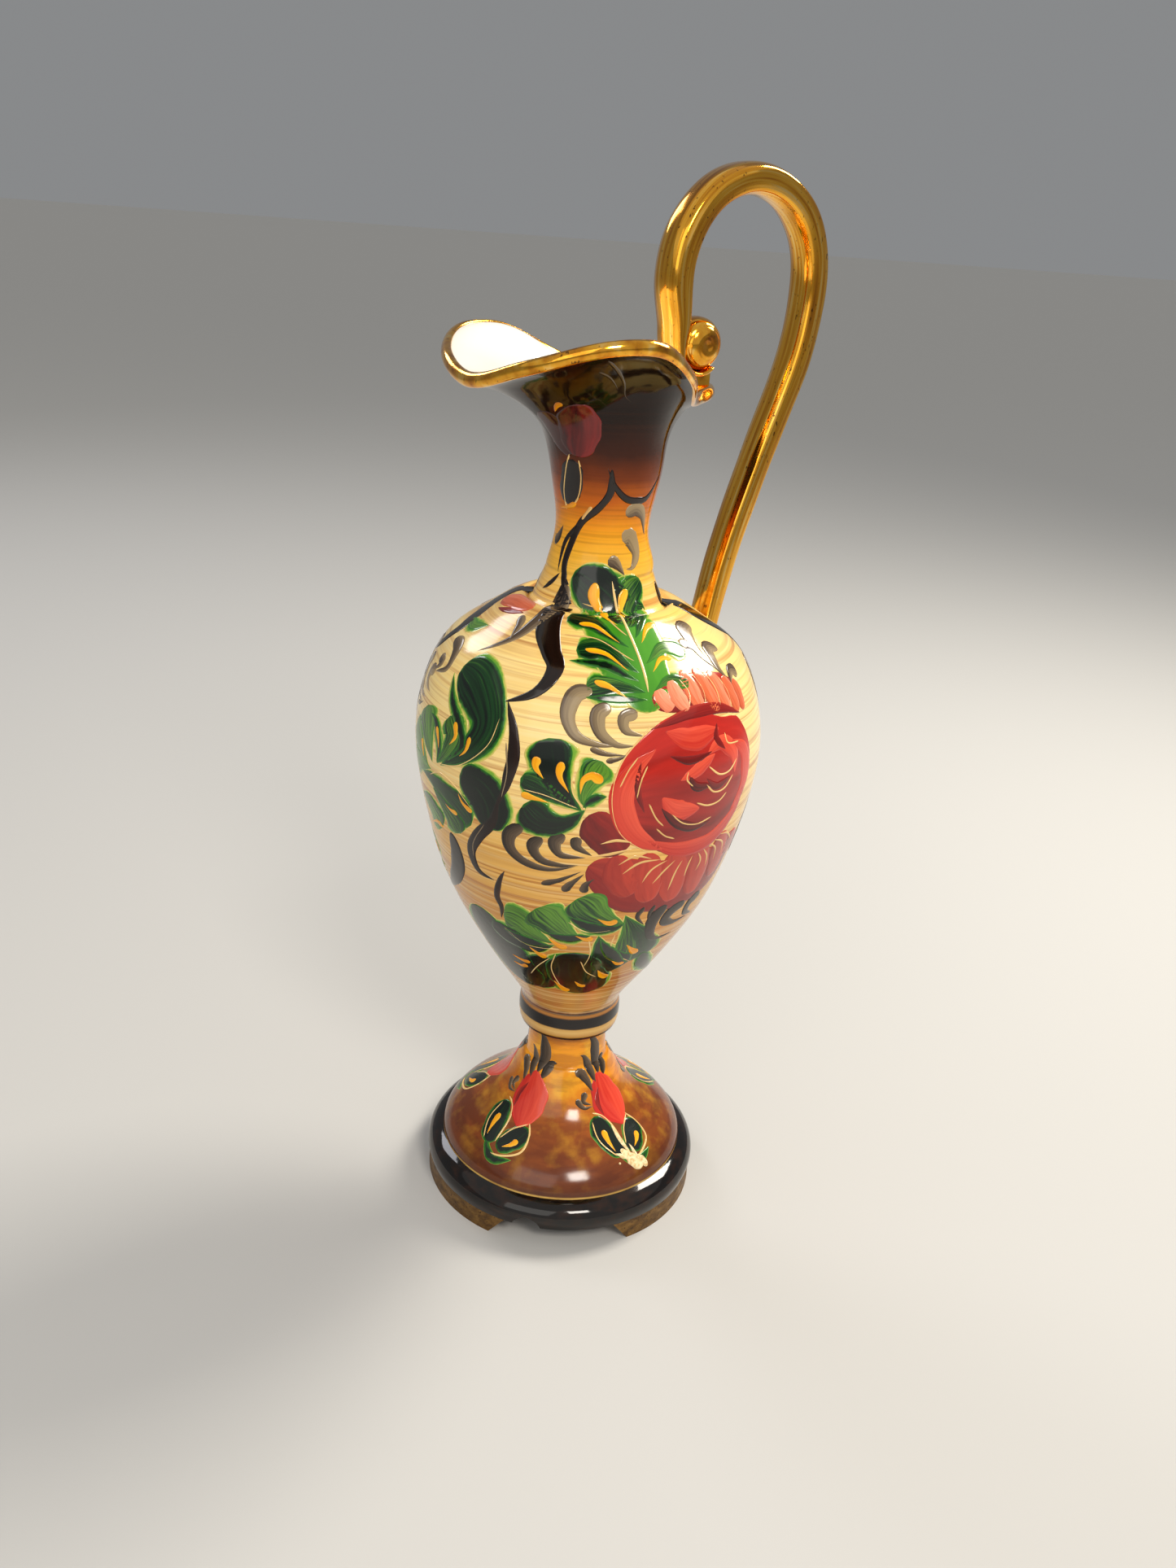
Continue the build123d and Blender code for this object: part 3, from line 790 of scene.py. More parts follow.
class StrokeMesh:
    """Sheets of paint that share one colour, gathered into one mesh before they are thickened."""

    STEP = 1.15                 # distance between rows of points
    FINEST = 0.35
    STEPS_WIDE = 7              # a narrow stroke has at least this many steps across
    ROWS = (10, 90)
    READINGS = 60               # along a path, to measure its length
    CROWDED = 0.45              # how far the rows crowd towards both tips
    WOBBLE = ((0.05, 11), (0.03, 23))   # how far the hand shakes, and how fast
    TIP_EDGE = 0.15             # edge left at the very tip
    APART = 0.618               # keeps the brush lines of two strokes from matching
    SHOULDER = 0.4              # width of the rounded edge of a stroke
    BODY = 0.10                 # how proud the first coat stands
    COAT = 0.045                # how much each further coat adds
    READS = ("along", "across", "edge", "tone", "stroke", "proud")

    def __init__(self, skin: Skin) -> None:
        """Start empty on a surface.

        Args:
            skin: the clay that the paint lies on.
        """
        self.skin = skin
        self.points: list[np.ndarray] = []
        self.outs: list[np.ndarray] = []
        self.faces: list[tuple[int, ...]] = []
        self.reads: dict[str, list[float]] = {name: [] for name in self.READS}
        self.count = 0

    def rows(self, stroke: Stroke) -> tuple[np.ndarray, np.ndarray, float, float]:
        """Where a stroke's rows of points lie; they crowd towards both tips.

        Args:
            stroke: what the brush does.

        Returns:
            Each row's share of the length, each row's spot, the length and the usual step.
        """
        readings = np.linspace(0, 1, self.READINGS)
        line = np.array([self.skin.spot(*spot) for spot in smooth_path(stroke.path, readings)])
        spans = np.linalg.norm(np.diff(line, axis=0), axis=1)
        travelled = np.concatenate([[0], np.cumsum(spans)])
        length = travelled[-1]
        step = min(self.STEP, max(self.FINEST, stroke.width / self.STEPS_WIDE))
        rows = int(min(self.ROWS[1], max(self.ROWS[0], length / step)))
        even = np.linspace(0, 1, rows + 1)
        shares = self.CROWDED * (1 - np.cos(math.pi * even)) / 2 + (1 - self.CROWDED) * even
        spine = smooth_path(stroke.path, np.interp(shares * length, travelled, readings))
        return shares, spine, length, step

    def lay(self, stroke: Stroke) -> None:
        """Add one stroke as a grid of points on the surface.

        Args:
            stroke: what the brush does.
        """
        self.count += 1
        shares, spine, length, step = self.rows(stroke)
        last = len(shares) - 1
        columns = max(3, int(stroke.width / step))
        rng = np.random.default_rng(len(self.points) + self.count)
        phase = rng.uniform(0, 6.28, 4)
        seats = [self.skin.spot(*spot) for spot in spine]
        first = len(self.points)
        previous: list[int] = []
        for row, share in enumerate(shares):
            ahead = seats[min(row + 1, last)] - seats[max(row - 1, 0)]
            side = np.cross(self.skin.outward(*spine[row]), ahead)
            side /= max(np.linalg.norm(side), 1e-9)
            reach = stroke.width / 2 * stroke.half_width(float(share))
            tip = row in (0, last)
            here: list[int] = []
            for across in [0.0] if tip else self.spread(reach, columns):
                shake = 1 + sum(
                    depth * math.sin(share * pace + phase[2 * number + (across <= 0)])
                    for number, (depth, pace) in enumerate(self.WOBBLE)
                )
                seat = seats[row] + side * across * reach * shake
                point, square = self.skin.nearest(seat)
                from_tip = min(share, 1 - share) * length + self.TIP_EDGE
                edge = 0.0 if tip else min((1 - abs(across)) * reach, from_tip)
                crown = min(1.0, edge / self.SHOULDER)
                here.append(len(self.points))
                self.points.append(point)
                self.outs.append(square)
                values = (share, across, edge, stroke.tone, self.count * self.APART,
                          (self.BODY + self.COAT * stroke.coat) * crown * (2 - crown))
                for name, value in zip(self.READS, values):
                    self.reads[name].append(float(value))
            self.faces += self.join(previous, here)
            previous = here
        self.turn_out(first)

    def spread(self, reach: float, columns: int) -> list[float]:
        """Places across a row, from -1 to 1, with one close to each edge.

        Args:
            reach: half of the row's width, in millimetres.
            columns: places between the two edges.

        Returns:
            The places.
        """
        inner = 1 - min(0.5, self.SHOULDER / max(reach, 1e-6))
        middle = np.linspace(-inner, inner, columns)
        return [-1.0, *middle.tolist(), 1.0]

    @staticmethod
    def join(one: list[int], two: list[int]) -> list[tuple[int, ...]]:
        """Faces between two rows; a row of one point is a tip.

        Args:
            one: points of the first row.
            two: points of the second row.

        Returns:
            The faces, all wound alike.
        """
        if not one:
            return []
        if len(one) == 1:
            return [(one[0], two[at + 1], two[at]) for at in range(len(two) - 1)]
        if len(two) == 1:
            return [(one[at], one[at + 1], two[0]) for at in range(len(one) - 1)]
        return [(one[at], one[at + 1], two[at + 1], two[at]) for at in range(len(one) - 1)]

    def turn_out(self, first: int) -> None:
        """Wind the newest stroke's faces so that they look outwards.

        Args:
            first: the newest stroke's first point.
        """
        newest = [number for number, face in enumerate(self.faces) if face[0] >= first]
        total = 0.0
        for number in newest:
            a, b, c = (self.points[index] for index in self.faces[number][:3])
            total += float(np.dot(np.cross(b - a, c - a), self.outs[self.faces[number][0]]))
        if total < 0:
            for number in newest:
                self.faces[number] = self.faces[number][::-1]

    def sheet(self, name: str) -> bpy.types.Object:
        """Make the gathered sheets an object, with what the paint and the thickening read.

        Args:
            name: the piece's name.

        Returns:
            The object, still without thickness.
        """
        mesh = bpy.data.meshes.new(name)
        mesh.from_pydata([tuple(point * MM) for point in self.points], [], self.faces)
        for read, values in self.reads.items():
            mesh.attributes.new(read, "FLOAT", "POINT").data.foreach_set("value", values)
        mesh.attributes.new("out", "FLOAT_VECTOR", "POINT").data.foreach_set(
            "vector", np.array(self.outs, float).ravel())
        return placed(name, mesh)


def thickening() -> bpy.types.NodeTree:
    """Geometry nodes that turn sheets of paint into closed, rounded strokes bedded in the glaze.

    Returns:
        The tree, with inputs for the bedding depth and the finish.
    """
    tree = bpy.data.node_groups.new("bedded enamel", "GeometryNodeTree")
    for name, way, kind in (("Geometry", "INPUT", "Geometry"), ("Bedding", "INPUT", "Float"),
                            ("Finish", "INPUT", "Material"), ("Geometry", "OUTPUT", "Geometry")):
        tree.interface.new_socket(name, in_out=way, socket_type=f"NodeSocket{kind}")
    given = add_node(tree, "NodeGroupInput").outputs
    out, proud = (
        add_node(tree, "GeometryNodeInputNamedAttribute", {"Name": name},
                 data_type=kind).outputs[0]
        for name, kind in (("out", "FLOAT_VECTOR"), ("proud", "FLOAT"))
    )
    down = add_node(tree, "ShaderNodeMath", {0: given["Bedding"], 1: -1.0}, operation="MULTIPLY")
    rise = add_node(tree, "ShaderNodeMath", {0: proud, 1: MM, 2: given["Bedding"]},
                    operation="MULTIPLY_ADD")
    sink, lift = (
        add_node(tree, "ShaderNodeVectorMath", {0: out, "Scale": share.outputs[0]},
                 operation="SCALE").outputs[0]
        for share in (down, rise)
    )
    bed = add_node(tree, "GeometryNodeSetPosition", {
        "Geometry": given["Geometry"], "Offset": sink,
    })
    wall = add_node(tree, "GeometryNodeExtrudeMesh", {
        "Mesh": bed.outputs[0], "Offset Scale": 0.0, "Individual": False,
    }, mode="FACES")
    top = add_node(tree, "GeometryNodeSetPosition", {
        "Geometry": wall.outputs["Mesh"], "Selection": wall.outputs["Top"], "Offset": lift,
    })
    under = add_node(tree, "GeometryNodeFlipFaces", {"Mesh": bed.outputs[0]})
    both = add_node(tree, "GeometryNodeJoinGeometry")
    tree.links.new(top.outputs[0], both.inputs[0])
    tree.links.new(under.outputs[0], both.inputs[0])
    sewn = add_node(tree, "GeometryNodeMergeByDistance", {
        "Geometry": both.outputs[0], "Distance": 1e-6,
    })
    smooth = add_node(tree, "GeometryNodeSetShadeSmooth", {
        "Geometry": sewn.outputs[0], "Shade Smooth": True,
    })
    real = add_node(tree, "GeometryNodeRealizeInstances", {"Geometry": smooth.outputs[0]})
    dressed = add_node(tree, "GeometryNodeSetMaterial", {
        "Geometry": real.outputs[0], "Material": given["Finish"],
    })
    add_node(tree, "NodeGroupOutput", {"Geometry": dressed.outputs[0]})
    return tree


def shaped(sheet: bpy.types.Object, tree: bpy.types.NodeTree, **inputs: Any) -> bpy.types.Object:
    """Run a geometry nodes tree on an object and keep the result as its plain mesh.

    Args:
        sheet: the object to change.
        tree: the geometry nodes tree.
        inputs: values of the tree's named inputs.

    Returns:
        The same object, with no modifier left.
    """
    modifier = sheet.modifiers.new("shape", "NODES")
    modifier.node_group = tree
    for item in tree.interface.items_tree:
        if item.item_type == "SOCKET" and item.in_out == "INPUT" and item.name in inputs:
            modifier[item.identifier] = inputs[item.name]
    graph = bpy.context.evaluated_depsgraph_get()
    mesh = bpy.data.meshes.new_from_object(sheet.evaluated_get(graph), depsgraph=graph)
    sheet.modifiers.remove(modifier)
    sheet.data = mesh
    return sheet


def brushed(
    paint: Paint, form: Form, *rows: tuple[float, float, int, tuple[Spot, ...]]
) -> tuple[Stroke, ...]:
    """Strokes of one paint and one outline.

    Args:
        paint: the colour.
        form: the outline.
        rows: width in millimetres, tone, coat and path of each stroke.

    Returns:
        The strokes.
    """
    return tuple(Stroke(paint, form, width, path, tone, coat) for width, tone, coat, path in rows)


SHOULDER_VINE = (
    *brushed(
        Paint.VINE, Form.LINE,
        (2.6, 0.15, 1, ((238, 300), (238, 292), (226, 286), (208, 281), (196, 274), (191, 266),
          (198, 256))),
    ),
    *brushed(
        Paint.VINE, Form.LEAF,
        (1.8, 0.1, 1, ((214, 283), (198, 278), (184, 272), (184, 262))),
    ),
    *brushed(
        Paint.VINE, Form.BLADE,
        (8.6, 0.15, 1, ((195, 259), (200, 253), (206, 247), (213, 242), (217.5, 238), (213, 231),
          (202, 226))),
    ),
    *brushed(
        Paint.VINE, Form.LEAF,
        (4.6, 0.3, 1, ((204, 227), (208, 219), (209.5, 210), (208, 200), (205, 190))),
        (5.0, 0.25, 1, ((206, 196), (203, 184), (196, 175), (192, 167), (194, 160), (201, 158))),
        (2.8, 0.5, 1, ((206, 164), (203, 158), (201, 151), (202, 146), (200.5, 140))),
        (2.0, 0.2, 1, ((168, 255), (178, 258), (187, 262))),
        (2.0, 0.2, 1, ((190, 262), (196, 260), (202, 259))),
    ),
    *brushed(
        Paint.SPRIG, Form.LINE,
        (0.7, 0.75, 3, ((206.5, 214), (208, 204), (206.5, 194))),
        (0.7, 0.6, 3, ((200, 182), (194, 172), (193, 165))),
    ),
)

NECK_PAINTING = (
    *brushed(
        Paint.VINE, Form.LEAF,
        (2.6, 0.2, 1, ((234, 300), (243, 294), (256, 290), (270, 289), (286, 290), (302, 297))),
    ),
    *brushed(
        Paint.GARNET, Form.PETAL,
        (15.0, 0.2, 1, ((211, 321.5), (208, 312), (203, 303))),
        (9.0, -0.1, 0, ((188, 318), (188, 311), (197, 303))),
    ),
    *brushed(Paint.VINE, Form.PETAL, (10.0, 0.0, 1, ((199, 302), (194, 294), (184, 286)))),
    *brushed(
        Paint.INCISED, Form.LINE,
        (0.8, 0.3, 2, ((205, 302), (207, 296), (204, 290), (196, 286))),
        (1.3, 0.25, 2, ((219, 286.5), (213, 284), (207, 281.5))),
        (0.8, 0.5, 2, ((196, 304), (189, 298), (183, 290), (185, 284))),
    ),
    *brushed(
        Paint.SPRIG, Form.COMMA,
        (1.6, 0.2, 1, ((230, 337), (235, 333), (239, 329), (241, 325), (246, 323))),
        (1.2, 0.2, 1, ((226, 333), (231, 331), (236, 327))),
    ),
    *brushed(
        Paint.YOLK, Form.COMMA,
        (2.6, 0.2, 2, ((203, 321.5), (199, 320), (196, 318))),
        (2.2, 0.3, 2, ((200, 287), (186, 285), (172, 284))),
    ),
    *brushed(
        Paint.SPRIG, Form.COMMA,
        (5.4, 0.75, 1, ((259, 284), (272, 286), (286, 283), (296, 276))),
        (6.4, 0.95, 1, ((258, 275), (268, 276), (277, 271), (270, 266), (262, 265.5))),
        (4.6, 0.6, 2, ((241, 268.5), (250, 267.5), (260, 263.5))),
        (4.0, 0.35, 1, ((160, 272), (168, 273), (178, 278))),
    ),
)

FERN_LEAF = (
    *brushed(
        Paint.BLEED, Form.PETAL,
        (27.0, 0.35, 0, ((238, 262), (243, 256), (248, 247), (251, 236), (251, 227))),
    ),
    *brushed(
        Paint.LEAF, Form.PETAL,
        (17.0, 0.05, 1, ((253, 250), (238, 257), (206, 264))),
        (12.0, 0.6, 1, ((251, 249), (262, 257), (279, 262))),
    ),
    *brushed(
        Paint.LEAF, Form.COMMA,
        (9.0, 0.15, 1, ((213, 250.5), (229, 250), (250, 244))),
        (10.5, 0.35, 2, ((224, 243), (237, 243.5), (251, 238))),
        (9.5, 0.5, 1, ((230, 234), (241, 235), (252, 233))),
        (8.0, 0.5, 1, ((279, 252), (265, 251.5), (253, 246))),
        (7.5, 0.75, 1, ((278, 242), (266, 243.5), (254, 240))),
        (6.0, 0.7, 1, ((270, 234), (262, 236), (254, 233))),
    ),
    *brushed(
        Paint.LEAF, Form.LEAF,
        (4.2, 0.0, 3, ((222, 240.5), (237, 240), (250, 236))),
        (3.4, 0.0, 3, ((230, 231.5), (240, 231.5), (252, 231))),
    ),
    *brushed(
        Paint.INCISED, Form.LINE,
        (1.2, 0.6, 4, ((246, 262), (250, 252), (252.5, 243), (252.5, 233))),
        (0.7, 0.4, 4, ((218, 254), (236, 252), (250, 247))),
        (0.7, 0.4, 4, ((216, 246.5), (234, 246), (250, 241))),
    ),
    *brushed(
        Paint.YOLK, Form.COMMA,
        (4.4, 0.55, 4, ((229, 261), (229, 256), (236, 252), (246, 249.5))),
        (2.6, 0.5, 4, ((222, 249.5), (233, 249), (246, 245))),
        (2.8, 0.5, 4, ((228, 243.5), (238, 242.5), (247, 238.5))),
        (2.8, 0.5, 4, ((233, 236), (239, 234.5), (246, 231))),
        (3.6, 0.7, 4, ((261, 259), (256, 256), (252, 251))),
        (2.8, 0.6, 4, ((270, 249.5), (263, 248.5), (256, 245))),
        (2.4, 0.6, 4, ((268, 241), (262, 241), (256, 238))),
    ),
)

LEFT_LEAVES = (
    *brushed(
        Paint.LEAF, Form.COMMA,
        (20.1, 0.3, 1, ((179, 232), (190, 229), (198, 219), (194, 208), (180, 197))),
        (12.6, 0.65, 0, ((182, 216), (186, 210), (183, 203), (178, 197))),
        (14.9, 0.4, 1, ((194, 179), (186, 185), (175, 189), (166, 189))),
        (12.1, 0.55, 2, ((188, 173), (184, 179), (174, 186))),
        (14.9, 0.75, 1, ((176, 170), (170, 176), (160, 178))),
        (14.9, 0.8, 0, ((166, 214), (170, 206), (175, 196))),
        (12.6, 0.85, 0, ((157, 205), (163, 200), (172, 193))),
        (10.3, 0.9, 0, ((156, 190), (164, 192), (174, 193))),
    ),
    *brushed(
        Paint.LEAF, Form.LEAF,
        (4.2, 0.0, 2, ((176, 229), (181, 221), (187, 215), (190, 208), (184, 200))),
        (4.0, 0.0, 2, ((170, 213), (175, 211), (179, 204), (178, 197))),
    ),
    *brushed(
        Paint.LEAF, Form.PETAL,
        (17.8, -0.1, 0, ((190, 197), (198, 195), (202, 189), (202, 180))),
    ),
    *brushed(
        Paint.VINE, Form.BLADE,
        (8.5, 0.05, 1, ((182, 171), (183, 162), (179, 153), (171, 145), (160, 138))),
    ),
    *brushed(
        Paint.INCISED, Form.LINE,
        (0.6, 0.6, 3, ((178, 197), (190, 201), (200, 211), (203, 222))),
        (0.6, 0.5, 3, ((172, 190), (180, 194), (188, 192), (195, 186))),
    ),
    *brushed(
        Paint.YOLK, Form.COMMA,
        (3.0, 0.5, 3, ((185.5, 215), (186.5, 210), (184, 206))),
        (2.4, 0.45, 3, ((193, 212), (192, 207), (189, 203.5))),
        (2.6, 0.5, 3, ((176, 210), (178, 206), (179, 202))),
        (2.6, 0.5, 3, ((166, 201.5), (166.5, 199), (168, 195))),
        (2.6, 0.4, 3, ((195, 184.5), (191, 187), (189, 190.5))),
        (2.6, 0.5, 3, ((188, 181), (184, 181.5), (181, 183))),
        (2.6, 0.5, 3, ((177, 171), (172, 171), (166, 168))),
    ),
)

SMALL_LEAVES = (
    *brushed(
        Paint.LEAF, Form.COMMA,
        (16.2, -0.05, 1, ((220, 218), (222, 209), (225, 201), (232, 194))),
        (9.2, 0.35, 1, ((212.5, 203), (219, 201), (225, 198), (232, 194))),
        (14.0, 0.1, 2, ((214, 194), (220, 188.5), (227, 189), (233, 195))),
        (10.8, 0.85, 0, ((237, 212), (234, 206), (232, 200), (233, 195))),
    ),
    *brushed(Paint.LEAF, Form.LEAF, (3.6, 0.0, 2, ((232, 195.5), (235, 199), (239, 200)))),
    *brushed(
        Paint.INCISED, Form.LINE,
        (0.6, 0.6, 3, ((213, 199.5), (221, 198.5), (231, 195))),
        (0.6, 0.5, 3, ((228, 206), (229, 200), (233, 194))),
    ),
    *brushed(
        Paint.YOLK, Form.COMMA,
        (3.6, 0.5, 3, ((217.5, 211.5), (217, 208), (220, 204))),
        (3.4, 0.5, 3, ((225, 211), (224.5, 206), (228, 200))),
        (3.0, 0.5, 3, ((213, 197.5), (217, 197), (222, 196))),
        (3.8, 0.5, 3, ((237.5, 205), (234, 207), (231.5, 205), (231, 200))),
    ),
)

GREY_SPRIGS = (
    *brushed(
        Paint.SPRIG, Form.COMMA,
        (6.4, 0.85, 1, ((233, 233.5), (227, 232), (225, 226), (228, 220), (235, 217.5),
          (242, 217))),
        (5.8, 0.8, 1, ((239, 229.5), (235, 227), (236, 221), (241, 217.5), (247, 217))),
        (5.0, 0.85, 1, ((248, 227.5), (243.5, 226), (244, 222), (250, 220))),
        (2.4, 0.6, 1, ((233, 216), (238, 214.5), (244, 214))),
        (2.0, 0.5, 1, ((238, 212), (242, 213), (246, 215))),
        (5.6, 0.3, 1, ((214, 185.5), (209, 181), (209, 175), (214, 170.5), (222, 169),
          (231, 171.5))),
        (4.8, 0.3, 1, ((220, 182), (217, 178), (219, 173), (225, 171.5), (232, 172))),
        (5.0, 0.35, 1, ((227, 184.5), (224, 181), (226, 176), (234, 175.5))),
        (4.2, 0.35, 1, ((231, 184), (231, 180), (236, 176.5))),
        (2.6, 0.2, 1, ((219.5, 162), (226, 165), (233, 169.5))),
        (3.2, 0.25, 1, ((227, 160), (230, 164), (234, 168.5))),
        (3.4, 0.25, 1, ((234, 160), (235, 164), (238, 167))),
        (7.0, 0.7, 1, ((297, 247), (289, 246.5), (285, 241), (288, 235))),
        (5.6, 0.7, 1, ((300, 240), (293, 241), (289, 236), (292, 230))),
        (5.0, 0.6, 1, ((278, 243), (282, 243.5), (286, 240))),
        (5.6, 0.65, 1, ((300, 233), (295, 234), (291, 230))),
        (5.6, 0.55, 1, ((160, 237), (168, 235), (170, 229), (162, 225))),
        (4.6, 0.5, 1, ((160, 230), (164, 229), (160, 225))),
        (7.4, 0.45, 1, ((200, 259), (198, 251), (192, 243.5), (180, 237))),
        (3.6, 0.5, 2, ((184, 248.5), (188, 246), (190.5, 241.5))),
    ),
)

PINK_BUD = (
    *brushed(Paint.SALMON, Form.PETAL, (9.0, 0.5, 1, ((147, 249), (165, 250.5), (185, 250.5)))),
    *brushed(Paint.GARNET, Form.LEAF, (3.0, 0.5, 2, ((158, 247), (170, 248), (183, 249)))),
    *brushed(Paint.LEAF, Form.LEAF, (5.0, 0.9, 1, ((150, 242), (160, 241), (170, 243)))),
)

ROSE = (
    *brushed(
        Paint.GARNET, Form.PETAL,
        (26.0, 0.6, 0, ((235, 172), (252, 163), (270, 160), (286, 162), (299, 172))),
        (15.0, 0.4, 0, ((234, 193), (239, 186), (246, 178))),
        (14.0, 0.6, 0, ((253, 230), (264, 232), (281, 231), (295, 227))),
    ),
    *brushed(
        Paint.GARNET, Form.PETAL,
        (12.0, 0.75, 1, ((244, 177), (246, 167), (251, 158))),
        (12.0, 0.9, 1, ((254, 177), (256, 165), (259, 154))),
        (12.0, 0.95, 1, ((264, 176), (267, 164), (269, 152))),
        (12.0, 0.9, 1, ((276, 176), (278, 164), (280, 152))),
        (12.0, 0.8, 1, ((286, 177), (289, 166), (291, 156))),
        (11.0, 0.7, 1, ((294, 173), (298, 168), (301, 163))),
    ),
    *brushed(
        Paint.ROSE, Form.PETAL,
        (52.0, 0.3, 1, ((241.5, 199), (255, 201), (269, 201), (283, 201), (296.5, 200))),
    ),
    *brushed(
        Paint.ROSE, Form.LEAF,
        (9.5, 0.75, 2, ((254, 216), (246, 208), (243.5, 197), (249, 185), (260, 177))),
        (8.0, 0.62, 2, ((252, 183), (264, 177), (278, 176.5), (289, 184), (294, 196))),
        (9.0, 0.7, 2, ((257, 221), (267, 217.5), (279, 219))),
        (7.0, 0.8, 2, ((272, 211), (279, 214), (285, 209), (286, 201))),
        (8.5, 0.78, 2, ((256, 199), (262, 193), (271, 192))),
        (7.5, 0.7, 2, ((284, 214), (292, 207), (293, 195), (287, 186))),
        (5.5, 0.85, 3, ((262, 204), (269, 207), (276, 211))),
    ),
    *brushed(
        Paint.GARNET, Form.LEAF,
        (4.6, 0.15, 3, ((256, 195), (262, 188.5), (269, 185), (277, 185.5))),
        (3.6, 0.3, 3, ((258, 213), (266, 210.5), (275, 212))),
        (4.0, 0.2, 3, ((265, 206), (268, 201), (275, 200))),
        (3.4, 0.35, 3, ((272, 203), (277, 199), (284, 201))),
        (3.2, 0.4, 3, ((278, 221), (277, 216), (281, 211))),
        (3.0, 0.35, 2, ((249, 213), (248, 203), (251, 193))),
        (5.0, 0.55, 2, ((252, 222), (266, 225.5), (280, 225.5), (292, 221))),
    ),
    *brushed(
        Paint.INCISED, Form.LINE,
        (0.7, 0.5, 3, ((252, 223), (243, 212), (240.5, 199), (244, 186), (254, 177))),
        (0.95, 0.45, 4, ((260, 192), (265, 187.5), (271, 185.8), (277, 187))),
        (0.95, 0.5, 4, ((269, 194.5), (274, 192.3), (279, 192.5), (282.5, 195))),
        (0.95, 0.5, 4, ((272, 201), (276, 197), (281, 197), (285, 201))),
        (0.95, 0.55, 4, ((273, 207), (278, 203), (283, 203), (287, 206.5))),
        (0.9, 0.5, 4, ((281, 217), (282.5, 213), (288.5, 212))),
        (0.9, 0.5, 4, ((265, 207), (264.5, 204), (267, 201))),
        (0.8, 0.35, 4, ((242.5, 203), (245, 209), (248, 213.5))),
        (0.8, 0.35, 4, ((248, 199), (249, 205), (251, 210.5))),
        (0.8, 0.4, 4, ((252, 197), (255, 191), (258, 187.5))),
        (0.8, 0.4, 4, ((255.5, 187), (259, 183.5), (263, 181.5))),
    ),
    *brushed(
        Paint.INCISED, Form.LEAF,
        (1.5, 0.35, 3, ((235, 176), (242, 177.5), (249, 179.5))),
        (1.5, 0.4, 3, ((238, 181.5), (243, 183), (249, 182))),
        (1.2, 0.4, 3, ((257, 174), (250, 176), (244, 172))),
        (1.4, 0.4, 3, ((260, 173.5), (252, 173), (246, 168))),
        (1.2, 0.4, 3, ((263, 173), (257, 169.5), (254, 163))),
        (1.2, 0.4, 3, ((266, 172.5), (262, 168), (258, 162))),
        (1.2, 0.4, 3, ((269, 172), (267, 166), (266, 157))),
        (1.1, 0.4, 3, ((273, 172.5), (272, 167), (272, 162))),
        (1.1, 0.4, 3, ((275, 173), (278, 168), (277, 163))),
        (1.1, 0.4, 3, ((277, 174), (281, 169), (282.5, 163))),
        (1.1, 0.4, 3, ((279, 175), (285, 171), (287, 164))),
        (1.1, 0.4, 3, ((281, 176), (289, 172), (292, 165))),
        (1.1, 0.4, 3, ((284, 177), (291, 175), (298, 169))),
    ),
    *brushed(
        Paint.SALMON, Form.PETAL,
        (6.4, 0.75, 1, ((256, 234), (257.5, 231), (261, 227.5))),
        (6.4, 0.75, 2, ((262, 236), (263.5, 231), (267, 226.5))),
        (7.0, 0.6, 1, ((269, 238), (270.5, 231), (273, 225.5))),
        (6.6, 0.5, 2, ((275.5, 238), (277.5, 230), (280, 224))),
        (6.6, 0.6, 1, ((282, 236.5), (284, 229), (286, 222.5))),
        (6.2, 0.5, 2, ((288, 234), (289.5, 228), (291.5, 221.5))),
        (5.6, 0.45, 1, ((293.5, 232), (294.5, 227), (295.5, 221))),
    ),
    *brushed(
        Paint.INCISED, Form.LINE,
        (0.6, 0.8, 3, ((266, 236), (268.5, 232), (267.5, 228))),
        (0.6, 0.7, 3, ((273, 237), (275, 232), (274.5, 227))),
        (0.6, 0.7, 3, ((279.5, 236), (281.5, 231), (281.5, 225))),
        (0.6, 0.7, 3, ((285.5, 234), (287.5, 229), (287.5, 224))),
    ),
)

